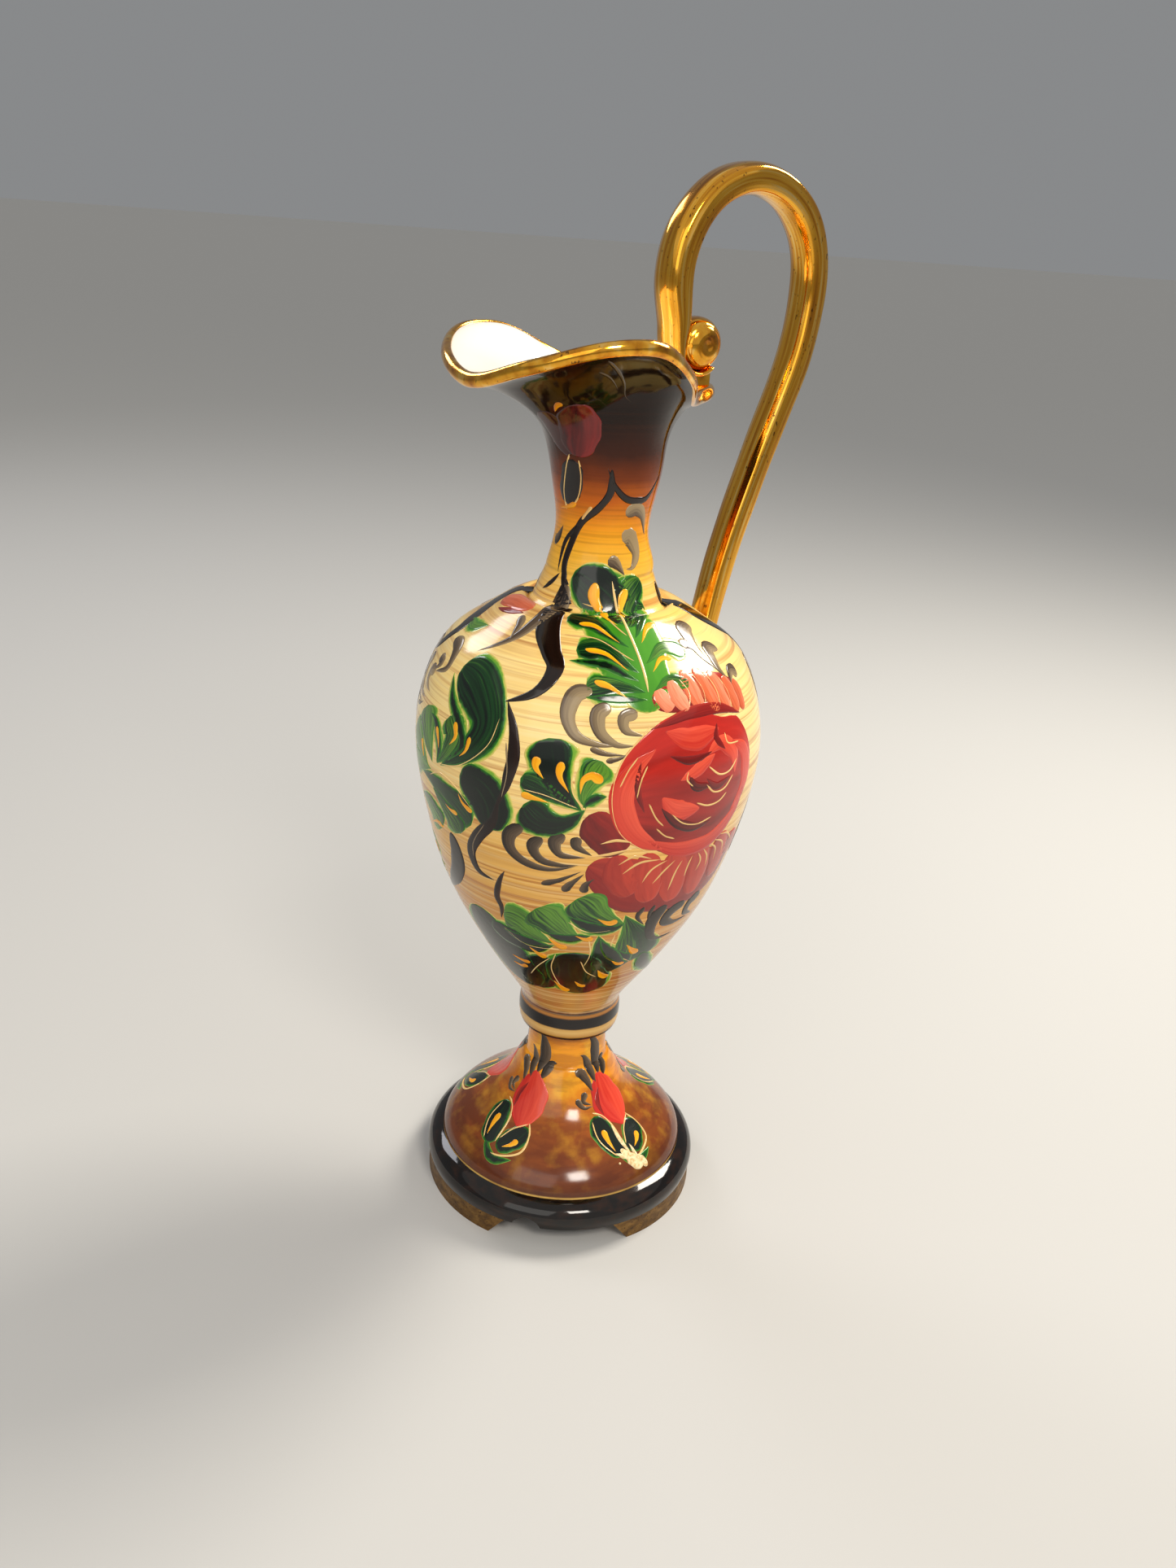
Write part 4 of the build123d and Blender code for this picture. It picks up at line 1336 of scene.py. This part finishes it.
LOWER_LEAVES = (
    *brushed(
        Paint.LEAF, Form.PETAL,
        (25.6, -0.15, 0, ((187, 141), (190, 128), (195, 115), (203, 101))),
    ),
    *brushed(
        Paint.LEAF, Form.BLADE,
        (12.2, -0.15, 1, ((193, 135), (204, 131), (214, 129), (224, 132))),
    ),
    *brushed(
        Paint.LEAF, Form.COMMA,
        (17.7, 0.8, 0, ((202, 142), (208, 141), (214, 137), (223, 133))),
        (18.9, 0.75, 1, ((217, 150), (222, 145), (228, 140), (236, 136))),
        (18.3, 0.7, 1, ((232, 157), (238, 151), (244, 147), (252, 144))),
        (21.3, 0.5, 0, ((264, 121), (261, 131), (256, 140), (251, 149))),
        (17.1, 0.1, 1, ((259, 118), (250, 124), (245, 131), (242, 139))),
    ),
    *brushed(
        Paint.LEAF, Form.LEAF,
        (6.2, -0.1, 2, ((229, 148.5), (238, 143.5), (247, 142.5), (252, 145))),
        (5.4, -0.1, 2, ((220, 138.5), (229, 137), (239, 139))),
        (6.0, -0.1, 2, ((200, 135), (209, 132), (222, 131.5))),
        (6.0, -0.1, 3, ((243, 137), (249, 129), (257, 122.5), (262, 121))),
    ),
    *brushed(
        Paint.LEAF, Form.PETAL,
        (23.2, 0.02, 1, ((234, 129), (234, 118), (239, 110), (250, 103))),
        (18.3, -0.02, 0, ((221, 124), (213, 113), (206, 102))),
    ),
    *brushed(
        Paint.LEAF, Form.BLADE,
        (7.0, 0.0, 1, ((268, 125), (275, 117), (288, 110), (300, 106))),
    ),
    *brushed(
        Paint.INCISED, Form.LINE,
        (0.7, 0.5, 3, ((224, 127), (221, 117), (225, 107), (232, 103))),
        (0.7, 0.5, 3, ((236, 124), (240, 117), (247, 113))),
        (0.7, 0.5, 3, ((249, 139), (249, 132), (256, 125), (263, 121))),
        (0.6, 0.6, 3, ((206, 110), (213, 117), (221, 124))),
        (0.6, 0.6, 3, ((200, 136), (210, 129.5), (226, 130))),
        (0.6, 0.6, 3, ((229, 146), (237, 141), (248, 142))),
        (0.6, 0.6, 3, ((238, 138), (240, 128), (238, 120))),
    ),
    *brushed(
        Paint.YOLK, Form.COMMA,
        (3.4, 0.4, 4, ((248.5, 146.5), (245, 145.5), (240, 148))),
        (3.0, 0.4, 4, ((240, 137.5), (237, 137), (232, 139))),
        (3.0, 0.4, 4, ((229.5, 131.5), (226, 132), (221, 135.5))),
        (3.2, 0.4, 4, ((219.5, 124), (216, 125), (211, 128.5))),
        (2.6, 0.3, 4, ((209, 118.5), (205, 118), (198, 119.5))),
        (2.6, 0.3, 4, ((206, 115.5), (202, 114), (196, 115))),
        (3.6, 0.4, 4, ((264.5, 126), (261, 128), (256, 132.5))),
        (3.0, 0.35, 4, ((260, 121), (256, 121), (251, 124))),
        (4.0, 0.4, 4, ((254, 112.5), (250, 114), (246, 118))),
        (3.6, 0.35, 4, ((231.5, 103), (227, 104.5), (221, 109.5))),
        (2.8, 0.35, 4, ((242, 107), (238, 107.5), (234, 110.5))),
    ),
    *brushed(
        Paint.SPRIG, Form.COMMA,
        (6.6, 0.0, 1, ((268, 151), (264.5, 144), (266, 136), (272, 132), (282, 132))),
        (6.6, 0.05, 1, ((279, 148.5), (273, 146.5), (271, 142), (277, 139), (286, 139))),
        (6.0, 0.05, 1, ((288, 150), (283, 147), (283, 142), (290, 139))),
        (2.6, 0.1, 1, ((258, 152), (256.5, 147), (261, 142))),
        (2.4, 0.1, 1, ((262.5, 152), (261.5, 147), (263.5, 142))),
    ),
)


def pedestal_bud(bearing: float) -> tuple[Stroke, ...]:
    """A red bud with two dark leaves and brown sprigs.

    Args:
        bearing: where the bud's middle stands.

    Returns:
        Its strokes.
    """
    drawn = (
        *brushed(Paint.ROSE, Form.LEAF, (16.5, 0.65, 1, ((-4, 55), (-1, 45.5), (2, 36)))),
        *brushed(Paint.GARNET, Form.LEAF, (2.6, 0.5, 2, ((-11, 40), (-13, 45), (-8, 50)))),
        *brushed(
            Paint.LEAF, Form.PETAL,
            (10.5, -0.1, 1, ((-20, 41), (-16, 35), (-9, 30))),
            (10.0, -0.05, 1, ((9, 37), (3, 33.5), (-5, 30))),
        ),
        *brushed(Paint.LEAF, Form.LEAF, (4.0, 0.0, 0, ((-14, 31), (-4, 27), (7, 28.5)))),
        *brushed(
            Paint.INCISED, Form.LINE,
            (0.9, 0.5, 2, ((-21, 42), (-13, 40.5), (-8, 37), (-7, 31))),
            (0.9, 0.5, 2, ((-23, 40), (-22, 35), (-14, 30))),
            (0.9, 0.5, 2, ((8, 38.5), (11.5, 35), (10, 31), (0, 28.5), (-6, 28))),
            (0.9, 0.5, 2, ((8, 38), (-1, 35.5), (-6, 32))),
        ),
        *brushed(
            Paint.YOLK, Form.COMMA,
            (3.2, 0.5, 3, ((-17, 37), (-16, 34), (-14, 31))),
            (3.0, 0.5, 3, ((6, 33.5), (3, 32), (-2, 30.5))),
        ),
        *brushed(
            Paint.SPRIG, Form.LEAF,
            (5.4, 0.2, 1, ((-12, 71), (-3, 68), (1, 62), (-3, 54))),
            (3.6, 0.3, 1, ((-26, 63), (-20, 62), (-14, 58), (-9, 51))),
            (4.0, 0.2, 1, ((21, 59), (13, 58.5), (4, 52.5))),
        ),
        *brushed(
            Paint.SPRIG, Form.COMMA,
            (4.4, 0.35, 1, ((-33, 55), (-27, 56), (-20, 53), (-14, 47.5))),
            (2.8, 0.4, 1, ((-24, 49), (-27, 46), (-20, 44.5))),
            (2.6, 0.4, 1, ((-34, 47), (-28, 44), (-19, 44))),
        ),
    )
    return tuple(stroke.moved(bearing) for stroke in drawn)


GLAZE_CHIP = (
    *brushed(
        Paint.INCISED, Form.PETAL,
        (5.6, 0.9, 4, ((271.5, 30), (274, 27.5), (278, 25))),
        (3.4, 0.9, 4, ((269, 31.5), (273, 29), (276, 28))),
        (3.2, 0.9, 5, ((276, 28.5), (279, 26.5), (280, 24))),
    ),
    *brushed(
        Paint.INCISED, Form.LEAF,
        (2.0, 0.9, 5, ((264.5, 31), (268, 30), (273, 28))),
        (2.2, 0.9, 5, ((271, 38), (272, 33.5), (274, 29))),
        (1.6, 0.9, 5, ((276, 32), (276.5, 30), (277, 27))),
        (1.0, 0.9, 4, ((265, 28.5), (266, 28))),
    ),
)


@dataclass
class Painting:
    """Painted decoration: the bouquet, its copy on the far side, and the buds on the pedestal."""

    far_side: float = 180.0
    gaps: tuple[float, ...] = (0.0, 180.0)          # between the two bouquets
    copied_below: float = 325.0                     # the mouth is not the same on its far side
    buds: tuple[float, ...] = (0.0, 60.0, 130.0, 200.0, 280.0)
    handle_half_bearing: float = 17.0               # kept clear of paint round the handle's foot
    handle_heights: Spot = (222.0, 262.0)
    bedding: float = 0.12
    bleed_mm: float = 3.0                           # how far the green ran round a leaf

    def bleed(self, leaf: Stroke) -> Stroke:
        """Bright green that ran out from under a dark leaf."""
        return replace(leaf, paint=Paint.BLEED, width=leaf.width + self.bleed_mm, tone=0.45,
                       coat=-1)

    def strokes(self) -> list[Stroke]:
        """Every stroke on the jug.

        Returns:
            The strokes, in the order they are laid.
        """
        drawn = (*LEFT_LEAVES, *SMALL_LEAVES, *GREY_SPRIGS, *PINK_BUD, *FERN_LEAF, *LOWER_LEAVES,
                 *ROSE, *SHOULDER_VINE, *NECK_PAINTING)
        bouquet = (*drawn, *(self.bleed(stroke) for stroke in drawn if stroke.paint is Paint.LEAF))
        copied = [
            stroke for stroke in bouquet
            if max(height for _, height in stroke.path) < self.copied_below
        ]
        laid = [*bouquet, *(stroke.moved(self.far_side) for stroke in copied)]
        halos = tuple(self.bleed(stroke) for stroke in SMALL_LEAVES if stroke.paint is Paint.LEAF)
        spray = [
            stroke.moved(turn, rise)
            for strokes, turn, rise in (
                (SHOULDER_VINE[2:6], 115, 0), (SMALL_LEAVES, 104, -52), (halos, 104, -52),
                (GREY_SPRIGS[:5], 94, -2), (GREY_SPRIGS[5:8], 101, -50),
            )
            for stroke in strokes
        ]
        laid += [stroke.moved(angle) for angle in self.gaps for stroke in spray]
        laid += [stroke for bearing in self.buds for stroke in pedestal_bud(bearing)]
        return [stroke for stroke in laid if not self.under_handle(stroke)]

    def under_handle(self, stroke: Stroke) -> bool:
        """Whether a stroke would run under the handle's foot.

        Args:
            stroke: the stroke.

        Returns:
            True where it would.
        """
        low, high = self.handle_heights
        return any(
            abs((bearing + 180) % 360 - 180) < self.handle_half_bearing and low < height < high
            for bearing, height in stroke.path
        )

    def build(self, skin: Skin) -> None:
        """Lay the strokes, one piece to each colour.

        Args:
            skin: the clay they lie on.
        """
        tree = thickening()
        strokes = self.strokes()
        coats = [
            (f"painting_{paint.name.lower()}", paint.value,
             [stroke for stroke in strokes if stroke.paint is paint])
            for paint in Paint
        ]
        clay = BareClay("bare earthenware in a chip", roughness=0.9)
        for name, finish, laid in (*coats, ("glaze_chip", clay, GLAZE_CHIP)):
            gathered = StrokeMesh(skin)
            for stroke in laid:
                gathered.lay(stroke)
            piece = shaped(gathered.sheet(name), tree, Bedding=self.bedding * MM,
                           Finish=finish.material())
            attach(piece, "root")
            LOG.info("%s: %d strokes, %d faces", name, gathered.count, len(piece.data.polygons))


# -- Clay sections and gilding --------------------------------------------------------------------


@dataclass
class Sections:
    """The thrown and moulded sections, each with its glaze."""

    feet: int = 3

    def finishes(self) -> dict[str, Finish]:
        """Finish of each section that shows as it left the kiln.

        Returns:
            Finishes by the section's name.
        """
        gloss = {"roughness": 0.14, "ior": 1.5}
        bronze = BronzeWash("bronze-brown wash on bare clay", roughness=0.5, metallic=0.5)
        gold = GoldLustre("gold lustre over glazed clay", metallic=1.0, roughness=0.2, coat=0.4)
        return {
            **{f"foot_{number + 1}": bronze for number in range(self.feet)},
            "plinth": ManganeseGlaze("manganese black lead glaze", roughness=0.07, ior=1.5),
            "pedestal": AmberGlaze("iron amber lead glaze", **gloss),
            "collar": BandedGlaze("banded brown and cream glaze", **gloss),
            "body": BrushedGlaze("wheel-brushed cream slip under clear glaze", **gloss),
            "neck": MouthGlaze("yellow slip to manganese brown glaze, white inside",
                               roughness=0.08, ior=1.32),
            "mouth_rim": gold,
            "saddle_pad": gold,
        }

    def dress(self, frame: dict[str, Any]) -> None:
        """Give each section its material.

        Args:
            frame: the loaded frame.
        """
        made: dict[str, bpy.types.Material] = {}
        for name, finish in self.finishes().items():
            material = made.get(finish.name) or finish.material()
            made[finish.name] = material
            mesh = frame["nodes"][name].data
            mesh.materials.clear()
            mesh.materials.append(material)
            LOG.info("%s: %s", name, finish.name)


@dataclass
class Strap:
    """Gilded strap of the handle, from the roll over the loop to the shoulder, in millimetres."""

    roll: Spot = (35.4, 338.5)
    loop: Spot = (55.8, 360.8)
    loop_radius: float = 33.1
    band: tuple[Spot, ...] = (      # under the roll: bearing and distance from its middle
        (300, 8.8), (285, 9.3), (265, 9.8), (245, 10.1), (224, 10.4), (203, 10.6),
    )
    climb: tuple[Spot, ...] = ((-10.2, 3.5), (-9.8, 9.0))       # from the roll's middle
    leg: tuple[Spot, ...] = (
        (85.9, 335.7), (77.3, 313.3), (68.3, 289.5), (60.9, 268.8), (56.1, 250.6), (52.6, 234.6),
    )
    top_width: float = 13.4
    top_depth: float = 11.4
    foot_width: float = 11.0
    foot_depth: float = 9.0
    lip_depth: float = 2.0          # thickness of the band where it ends under the roll
    fullness: float = 2.7           # 2 is an oval section, and more is squarer
    ridge: float = 0.35             # two pinched ridges along each side
    ridge_at: float = 0.8
    ridge_width: float = 0.07
    ridge_clear: float = 0.3        # the sides themselves stay plain
    underside: float = 0.92         # the side that faces in is flatter
    tapered_from: float = 0.45
    swollen: Spot = (8.0, 36.0)     # where the lip starts to swell, and over what length
    ridged_depth: float = 8.0       # where it is thinner the ridges die away
    waves: tuple[tuple[float, float, int], ...] = ((0.010, 9.0, 1), (0.007, 4.3, 2))
    map_mm: float = 100.0           # length of strap to one unit of its UV map
    rings: int = 220
    corners: int = 64
    settling: int = 90              # passes that ease the joins of the route
    settled_from: float = 24.0

    def route(self) -> tuple[np.ndarray, np.ndarray]:
        """Centre line from the lip under the roll to the shoulder.

        Returns:
            Points in the X-Z plane, and how far each is along the line.
        """
        (x, z), (mx, mz) = self.roll, self.loop
        band = [
            (x + reach * math.cos(math.radians(angle)), z + reach * math.sin(math.radians(angle)))
            for angle, reach in self.band
        ]
        start = [(x + across, z + up) for across, up in self.climb]
        loop = [
            (mx + self.loop_radius * math.cos(angle), mz + self.loop_radius * math.sin(angle))
            for angle in map(math.radians, range(180, -1, -20))
        ]
        points = smooth_path((*band, *start, *loop, *self.leg), np.linspace(0, 1, 900))
        spans = np.linalg.norm(np.diff(points, axis=0), axis=1)
        travelled = np.concatenate([[0], np.cumsum(spans)])
        even = np.linspace(0, travelled[-1], self.rings)
        line = np.stack([np.interp(even, travelled, points[:, axis]) for axis in (0, 1)], 1)
        eased = np.clip((even - self.settled_from) / self.settled_from, 0, 1)[1:-1, None]
        for _ in range(self.settling):
            line[1:-1] += eased * (line[:-2] - 2 * line[1:-1] + line[2:]) / 4
        return line, even

    def size(self, along: float, total: float) -> tuple[float, float]:
        """Width and depth of the strap at a distance along it.

        Args:
            along: distance along the strap, in millimetres.
            total: the strap's whole length.

        Returns:
            The width and the depth.
        """
        taper = max(0.0, (along / total - self.tapered_from) / (1 - self.tapered_from))
        width = self.top_width + (self.foot_width - self.top_width) * taper
        depth = self.top_depth + (self.foot_depth - self.top_depth) * taper
        swell = min(1.0, max(0.0, (along - self.swollen[0]) / self.swollen[1]))
        swell = swell * swell * (3 - 2 * swell)
        return width, self.lip_depth + (depth - self.lip_depth) * swell

    def section(self, along: float, total: float, starts: np.ndarray) -> list[Spot]:
        """Outline of the strap at a distance along it.

        Args:
            along: distance along the strap, in millimetres.
            total: the strap's whole length.
            starts: where each wave of the maker's hand starts.

        Returns:
            How far each corner lies to the side and how far out.
        """
        width, depth = self.size(along, total)
        outline = []
        for corner in range(self.corners):
            angle = 2 * math.pi * corner / self.corners
            across, rise = math.cos(angle), math.sin(angle)
            reach = fuller(across, rise, self.fullness)
            pinch = math.exp(-(((abs(across) - self.ridge_at) / self.ridge_width) ** 2))
            pinch *= self.ridge * (abs(rise) > self.ridge_clear)
            hand = 1 + sum(
                amount * math.sin(along / length + start + lobes * angle)
                for (amount, length, lobes), start in zip(self.waves, starts)
            )
            half_depth = depth / 2 * (self.underside if rise < 0 else 1.0)
            side = (width / 2 * reach * hand + pinch) * across
            out = (half_depth * reach * hand + pinch * min(1.0, depth / self.ridged_depth)) * rise
            outline.append((side, out))
        return outline

    def mesh(self) -> bpy.types.Mesh:
        """Sweep the section along the route.

        Returns:
            The mesh, with a UV map that follows the strap.
        """
        points, along = self.route()
        starts = np.random.default_rng(7).uniform(0, 6.28, len(self.waves))
        corners: list[Vector] = []
        for number, (point, at) in enumerate(zip(points, along)):
            ahead = points[min(number + 1, len(points) - 1)] - points[max(number - 1, 0)]
            ahead = ahead / np.linalg.norm(ahead)
            square = np.array((-ahead[1], ahead[0]))
            for side, out in self.section(at, along[-1], starts):
                place = point + square * out
                corners.append(Vector((place[0], side, place[1])) * MM)
        faces, uvs = [], []
        for ring in range(len(points) - 1):
            for corner in range(self.corners):
                after = (corner + 1) % self.corners
                near, far = ring * self.corners, (ring + 1) * self.corners
                faces.append((near + corner, near + after, far + after, far + corner))
                low, high = along[ring] / self.map_mm, along[ring + 1] / self.map_mm
                left, right = corner / self.corners, (corner + 1) / self.corners
                uvs += [(low, left), (low, right), (high, right), (high, left)]
        for start, order in ((0, -1), ((len(points) - 1) * self.corners, 1)):
            centre = len(corners)
            ring_points = corners[start:start + self.corners]
            corners.append(sum(ring_points, Vector()) / self.corners)
            for corner in range(self.corners):
                after = (corner + 1) % self.corners
                face = (start + corner, start + after, centre)
                faces.append(face if order > 0 else face[::-1])
                uvs += [(along[0 if start == 0 else -1] / self.map_mm, 0.5)] * 3
        mesh = bpy.data.meshes.new("handle_strap")
        mesh.from_pydata(corners, [], faces)
        layer = mesh.uv_layers.new(name="strap")
        layer.data.foreach_set("uv", [value for pair in uvs for value in pair])
        mesh.polygons.foreach_set("use_smooth", [True] * len(mesh.polygons))
        return outward_faces(mesh)

    def build(self) -> None:
        """Make the strap and its finish."""
        piece = placed("handle_strap", self.mesh())
        finish = GoldLustre("gold lustre brushed along the strap", metallic=1.0, roughness=0.2,
                            coat=0.4, streaks=Vector((2.2, 26.0, 1.0)), follows_strap=True)
        piece.data.materials.append(finish.material())
        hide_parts("handle")
        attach(piece, "root")
        LOG.info("handle_strap: %d faces", len(piece.data.polygons))


def fuller(across: float, rise: float, fullness: float) -> float:
    """How far a section reaches towards a direction; 2 gives a circle, more a squarer one."""
    return (abs(across) ** fullness + abs(rise) ** fullness) ** (-1 / fullness)


def outward_faces(mesh: bpy.types.Mesh) -> bpy.types.Mesh:
    """Turn every face of a closed mesh to look outwards.

    Args:
        mesh: the closed mesh.

    Returns:
        The same mesh.
    """
    volume = 0.0
    for polygon in mesh.polygons:
        first, *rest = (mesh.vertices[index].co for index in polygon.vertices)
        for second, third in zip(rest, rest[1:]):
            volume += first.dot(second.cross(third))
    if volume < 0:
        mesh.flip_normals()
    return mesh


@dataclass
class Roll:
    """Rolled end of the strap: a fat disc, dimpled and creased in a spiral, in millimetres."""

    middle: Spot = (35.4, 338.5)
    radius: float = 9.3
    half_width: float = 8.2
    fullness: float = 2.4
    dimple: float = 0.9
    dimple_radius: float = 2.4
    crease: float = 0.14
    crease_pitch: float = 3.6
    crease_width: float = 0.09      # as a share of its pitch
    creased_to: float = 0.8         # as a share of the radius
    rings: int = 72
    corners: int = 128

    def build(self) -> None:
        """Make the roll and gild it."""
        corners: list[Vector] = []
        for ring in range(self.rings + 1):
            tilt = math.pi * ring / self.rings
            for corner in range(self.corners):
                turn = 2 * math.pi * corner / self.corners
                sine, cosine = math.sin(tilt), math.cos(tilt)
                reach = fuller(sine, cosine, self.fullness)
                out, side = self.radius * reach * sine, self.half_width * reach * cosine
                hollow = self.dimple * math.exp(-((out / self.dimple_radius) ** 2))
                spiral = (out / self.crease_pitch - turn / (2 * math.pi)) % 1.0
                groove = self.crease * math.exp(-(((spiral - 0.5) / self.crease_width) ** 2))
                groove *= min(1.0, out / 3) * (out < self.creased_to * self.radius)
                side -= math.copysign(hollow + groove, side)
                x, z = self.middle
                place = Vector((x + out * math.cos(turn), side, z + out * math.sin(turn)))
                corners.append(place * MM)
        faces = [
            (ring * self.corners + corner, ring * self.corners + (corner + 1) % self.corners,
             (ring + 1) * self.corners + (corner + 1) % self.corners,
             (ring + 1) * self.corners + corner)
            for ring in range(self.rings) for corner in range(self.corners)
        ]
        mesh = bpy.data.meshes.new("volute_roll")
        mesh.from_pydata(corners, [], faces)
        work = bmesh.new()
        work.from_mesh(mesh)
        bmesh.ops.remove_doubles(work, verts=work.verts, dist=1e-6)
        work.to_mesh(mesh)
        work.free()
        mesh.polygons.foreach_set("use_smooth", [True] * len(mesh.polygons))
        piece = placed("volute_roll", outward_faces(mesh))
        gold = GoldLustre("gold lustre on the roll", metallic=1.0, roughness=0.2, coat=0.4)
        piece.data.materials.append(gold.material())
        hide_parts("volute")
        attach(piece, "root")
        LOG.info("volute_roll: %d faces", len(piece.data.polygons))


# -- Studio ---------------------------------------------------------------------------------------


@dataclass(frozen=True)
class Lamp:
    """Square soft light that looks at the jug, in metres and watts."""

    name: str
    place: tuple[float, float, float]
    size: float
    watts: float
    tint: str
    aim: tuple[float, float, float] = (0.0, 0.0, 0.22)

    def build(self) -> None:
        """Stand the light in its place."""
        data = bpy.data.lights.new(self.name, "AREA")
        data.size, data.energy, data.color = self.size, self.watts, linear(self.tint)[:3]
        lamp = placed(self.name, data)
        lamp.location = self.place
        towards = Vector(self.aim) - Vector(self.place)
        lamp.rotation_euler = towards.to_track_quat("-Z", "Y").to_euler()


@dataclass
class Studio:
    """Pale floor, soft lights and the camera, in millimetres."""

    stand_off: float = 474.8
    camera_height: float = 378.8
    bearing: float = 38.0
    yaw: float = 0.17
    pitch: float = 23.05
    roll: float = 4.02
    focal_share: float = 1650 / 1927     # focal length as a share of the long side
    sensor: float = 36.0
    glow: float = 0.75
    glow_angle: float = 130.0
    floor_half: float = 25.0            # in metres
    lamps: tuple[Lamp, ...] = (
        Lamp("key", (0.86, -0.04, 1.0), 0.42, 14.0, "FFF8EC"),
        Lamp("front", (-0.25, -0.85, 0.95), 0.3, 6.5, "FFF8EE"),
        Lamp("left", (-0.95, -0.55, 0.8), 0.8, 2.4, "FFFBF4"),
        Lamp("far left", (-0.2, 1.3, 1.1), 0.45, 4.0, "F8F8FF"),
    )

    def camera(self) -> None:
        """Set the camera where the viewer stood."""
        data = bpy.data.cameras.new("viewer")
        data.sensor_width = self.sensor
        data.lens = self.sensor * self.focal_share
        data.clip_start, data.clip_end = 0.01, 20.0
        angles = (self.yaw, self.pitch, self.roll, self.bearing)
        yaw, pitch, roll, turn = (math.radians(angle) for angle in angles)
        forward = Vector((
            math.sin(yaw) * math.cos(pitch), math.cos(yaw) * math.cos(pitch), -math.sin(pitch),
        ))
        level = Vector((math.cos(yaw), -math.sin(yaw), 0.0))
        upright = level.cross(forward)
        right = level * math.cos(roll) + upright * math.sin(roll)
        up = upright * math.cos(roll) - level * math.sin(roll)
        spin = Matrix.Rotation(-turn, 3, "Z")
        axes = Matrix((spin @ right, spin @ up, spin @ -forward)).transposed()
        place = spin @ Vector((0.0, -self.stand_off * MM, self.camera_height * MM))
        camera = placed("viewer", data)
        camera.matrix_world = Matrix.Translation(place) @ axes.to_4x4()
        bpy.context.scene.camera = camera

    def sky_glow(self) -> None:
        """Even, very soft light that reaches the far floor too."""
        data = bpy.data.lights.new("glow", "SUN")
        data.energy, data.angle = self.glow, math.radians(self.glow_angle)
        data.color = linear("FFFAF2")[:3]
        lamp = placed("glow", data)
        lamp.rotation_euler = Vector((0.5, 0.9, -1.5)).to_track_quat("-Z", "Y").to_euler()

    def build(self) -> None:
        """Floor, lights, surroundings and camera."""
        mesh = bpy.data.meshes.new("floor")
        half = self.floor_half
        sides = [(-half, -half, 0), (half, -half, 0), (half, half, 0), (-half, half, 0)]
        mesh.from_pydata(sides, [], [(0, 1, 2, 3)])
        floor = placed("floor", mesh)
        paint = bpy.data.materials.new("pale studio floor")
        paint.use_nodes = True
        shader = paint.node_tree.nodes["Principled BSDF"]
        shader.inputs["Base Color"].default_value = linear("C2C1BE")
        shader.inputs["Roughness"].default_value = 0.8
        mesh.materials.append(paint)
        world = bpy.data.worlds.new("studio")
        world.use_nodes = True
        world.node_tree.nodes["Background"].inputs["Color"].default_value = linear("D8DADC")
        world.node_tree.nodes["Background"].inputs["Strength"].default_value = 0.36
        bpy.context.scene.world = world
        bpy.context.scene.view_settings.view_transform = "Standard"
        for lamp in self.lamps:
            lamp.build()
        self.sky_glow()
        self.camera()


def main() -> None:
    """Dress and build every piece."""
    logging.basicConfig(level=logging.INFO, format="%(name)s %(message)s")
    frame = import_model()
    Studio().build()
    Sections().dress(frame)
    Strap().build()
    Roll().build()
    Painting().build(Skin(frame, ("body", "neck", "collar", "pedestal")))


if __name__ == "__main__":
    main()
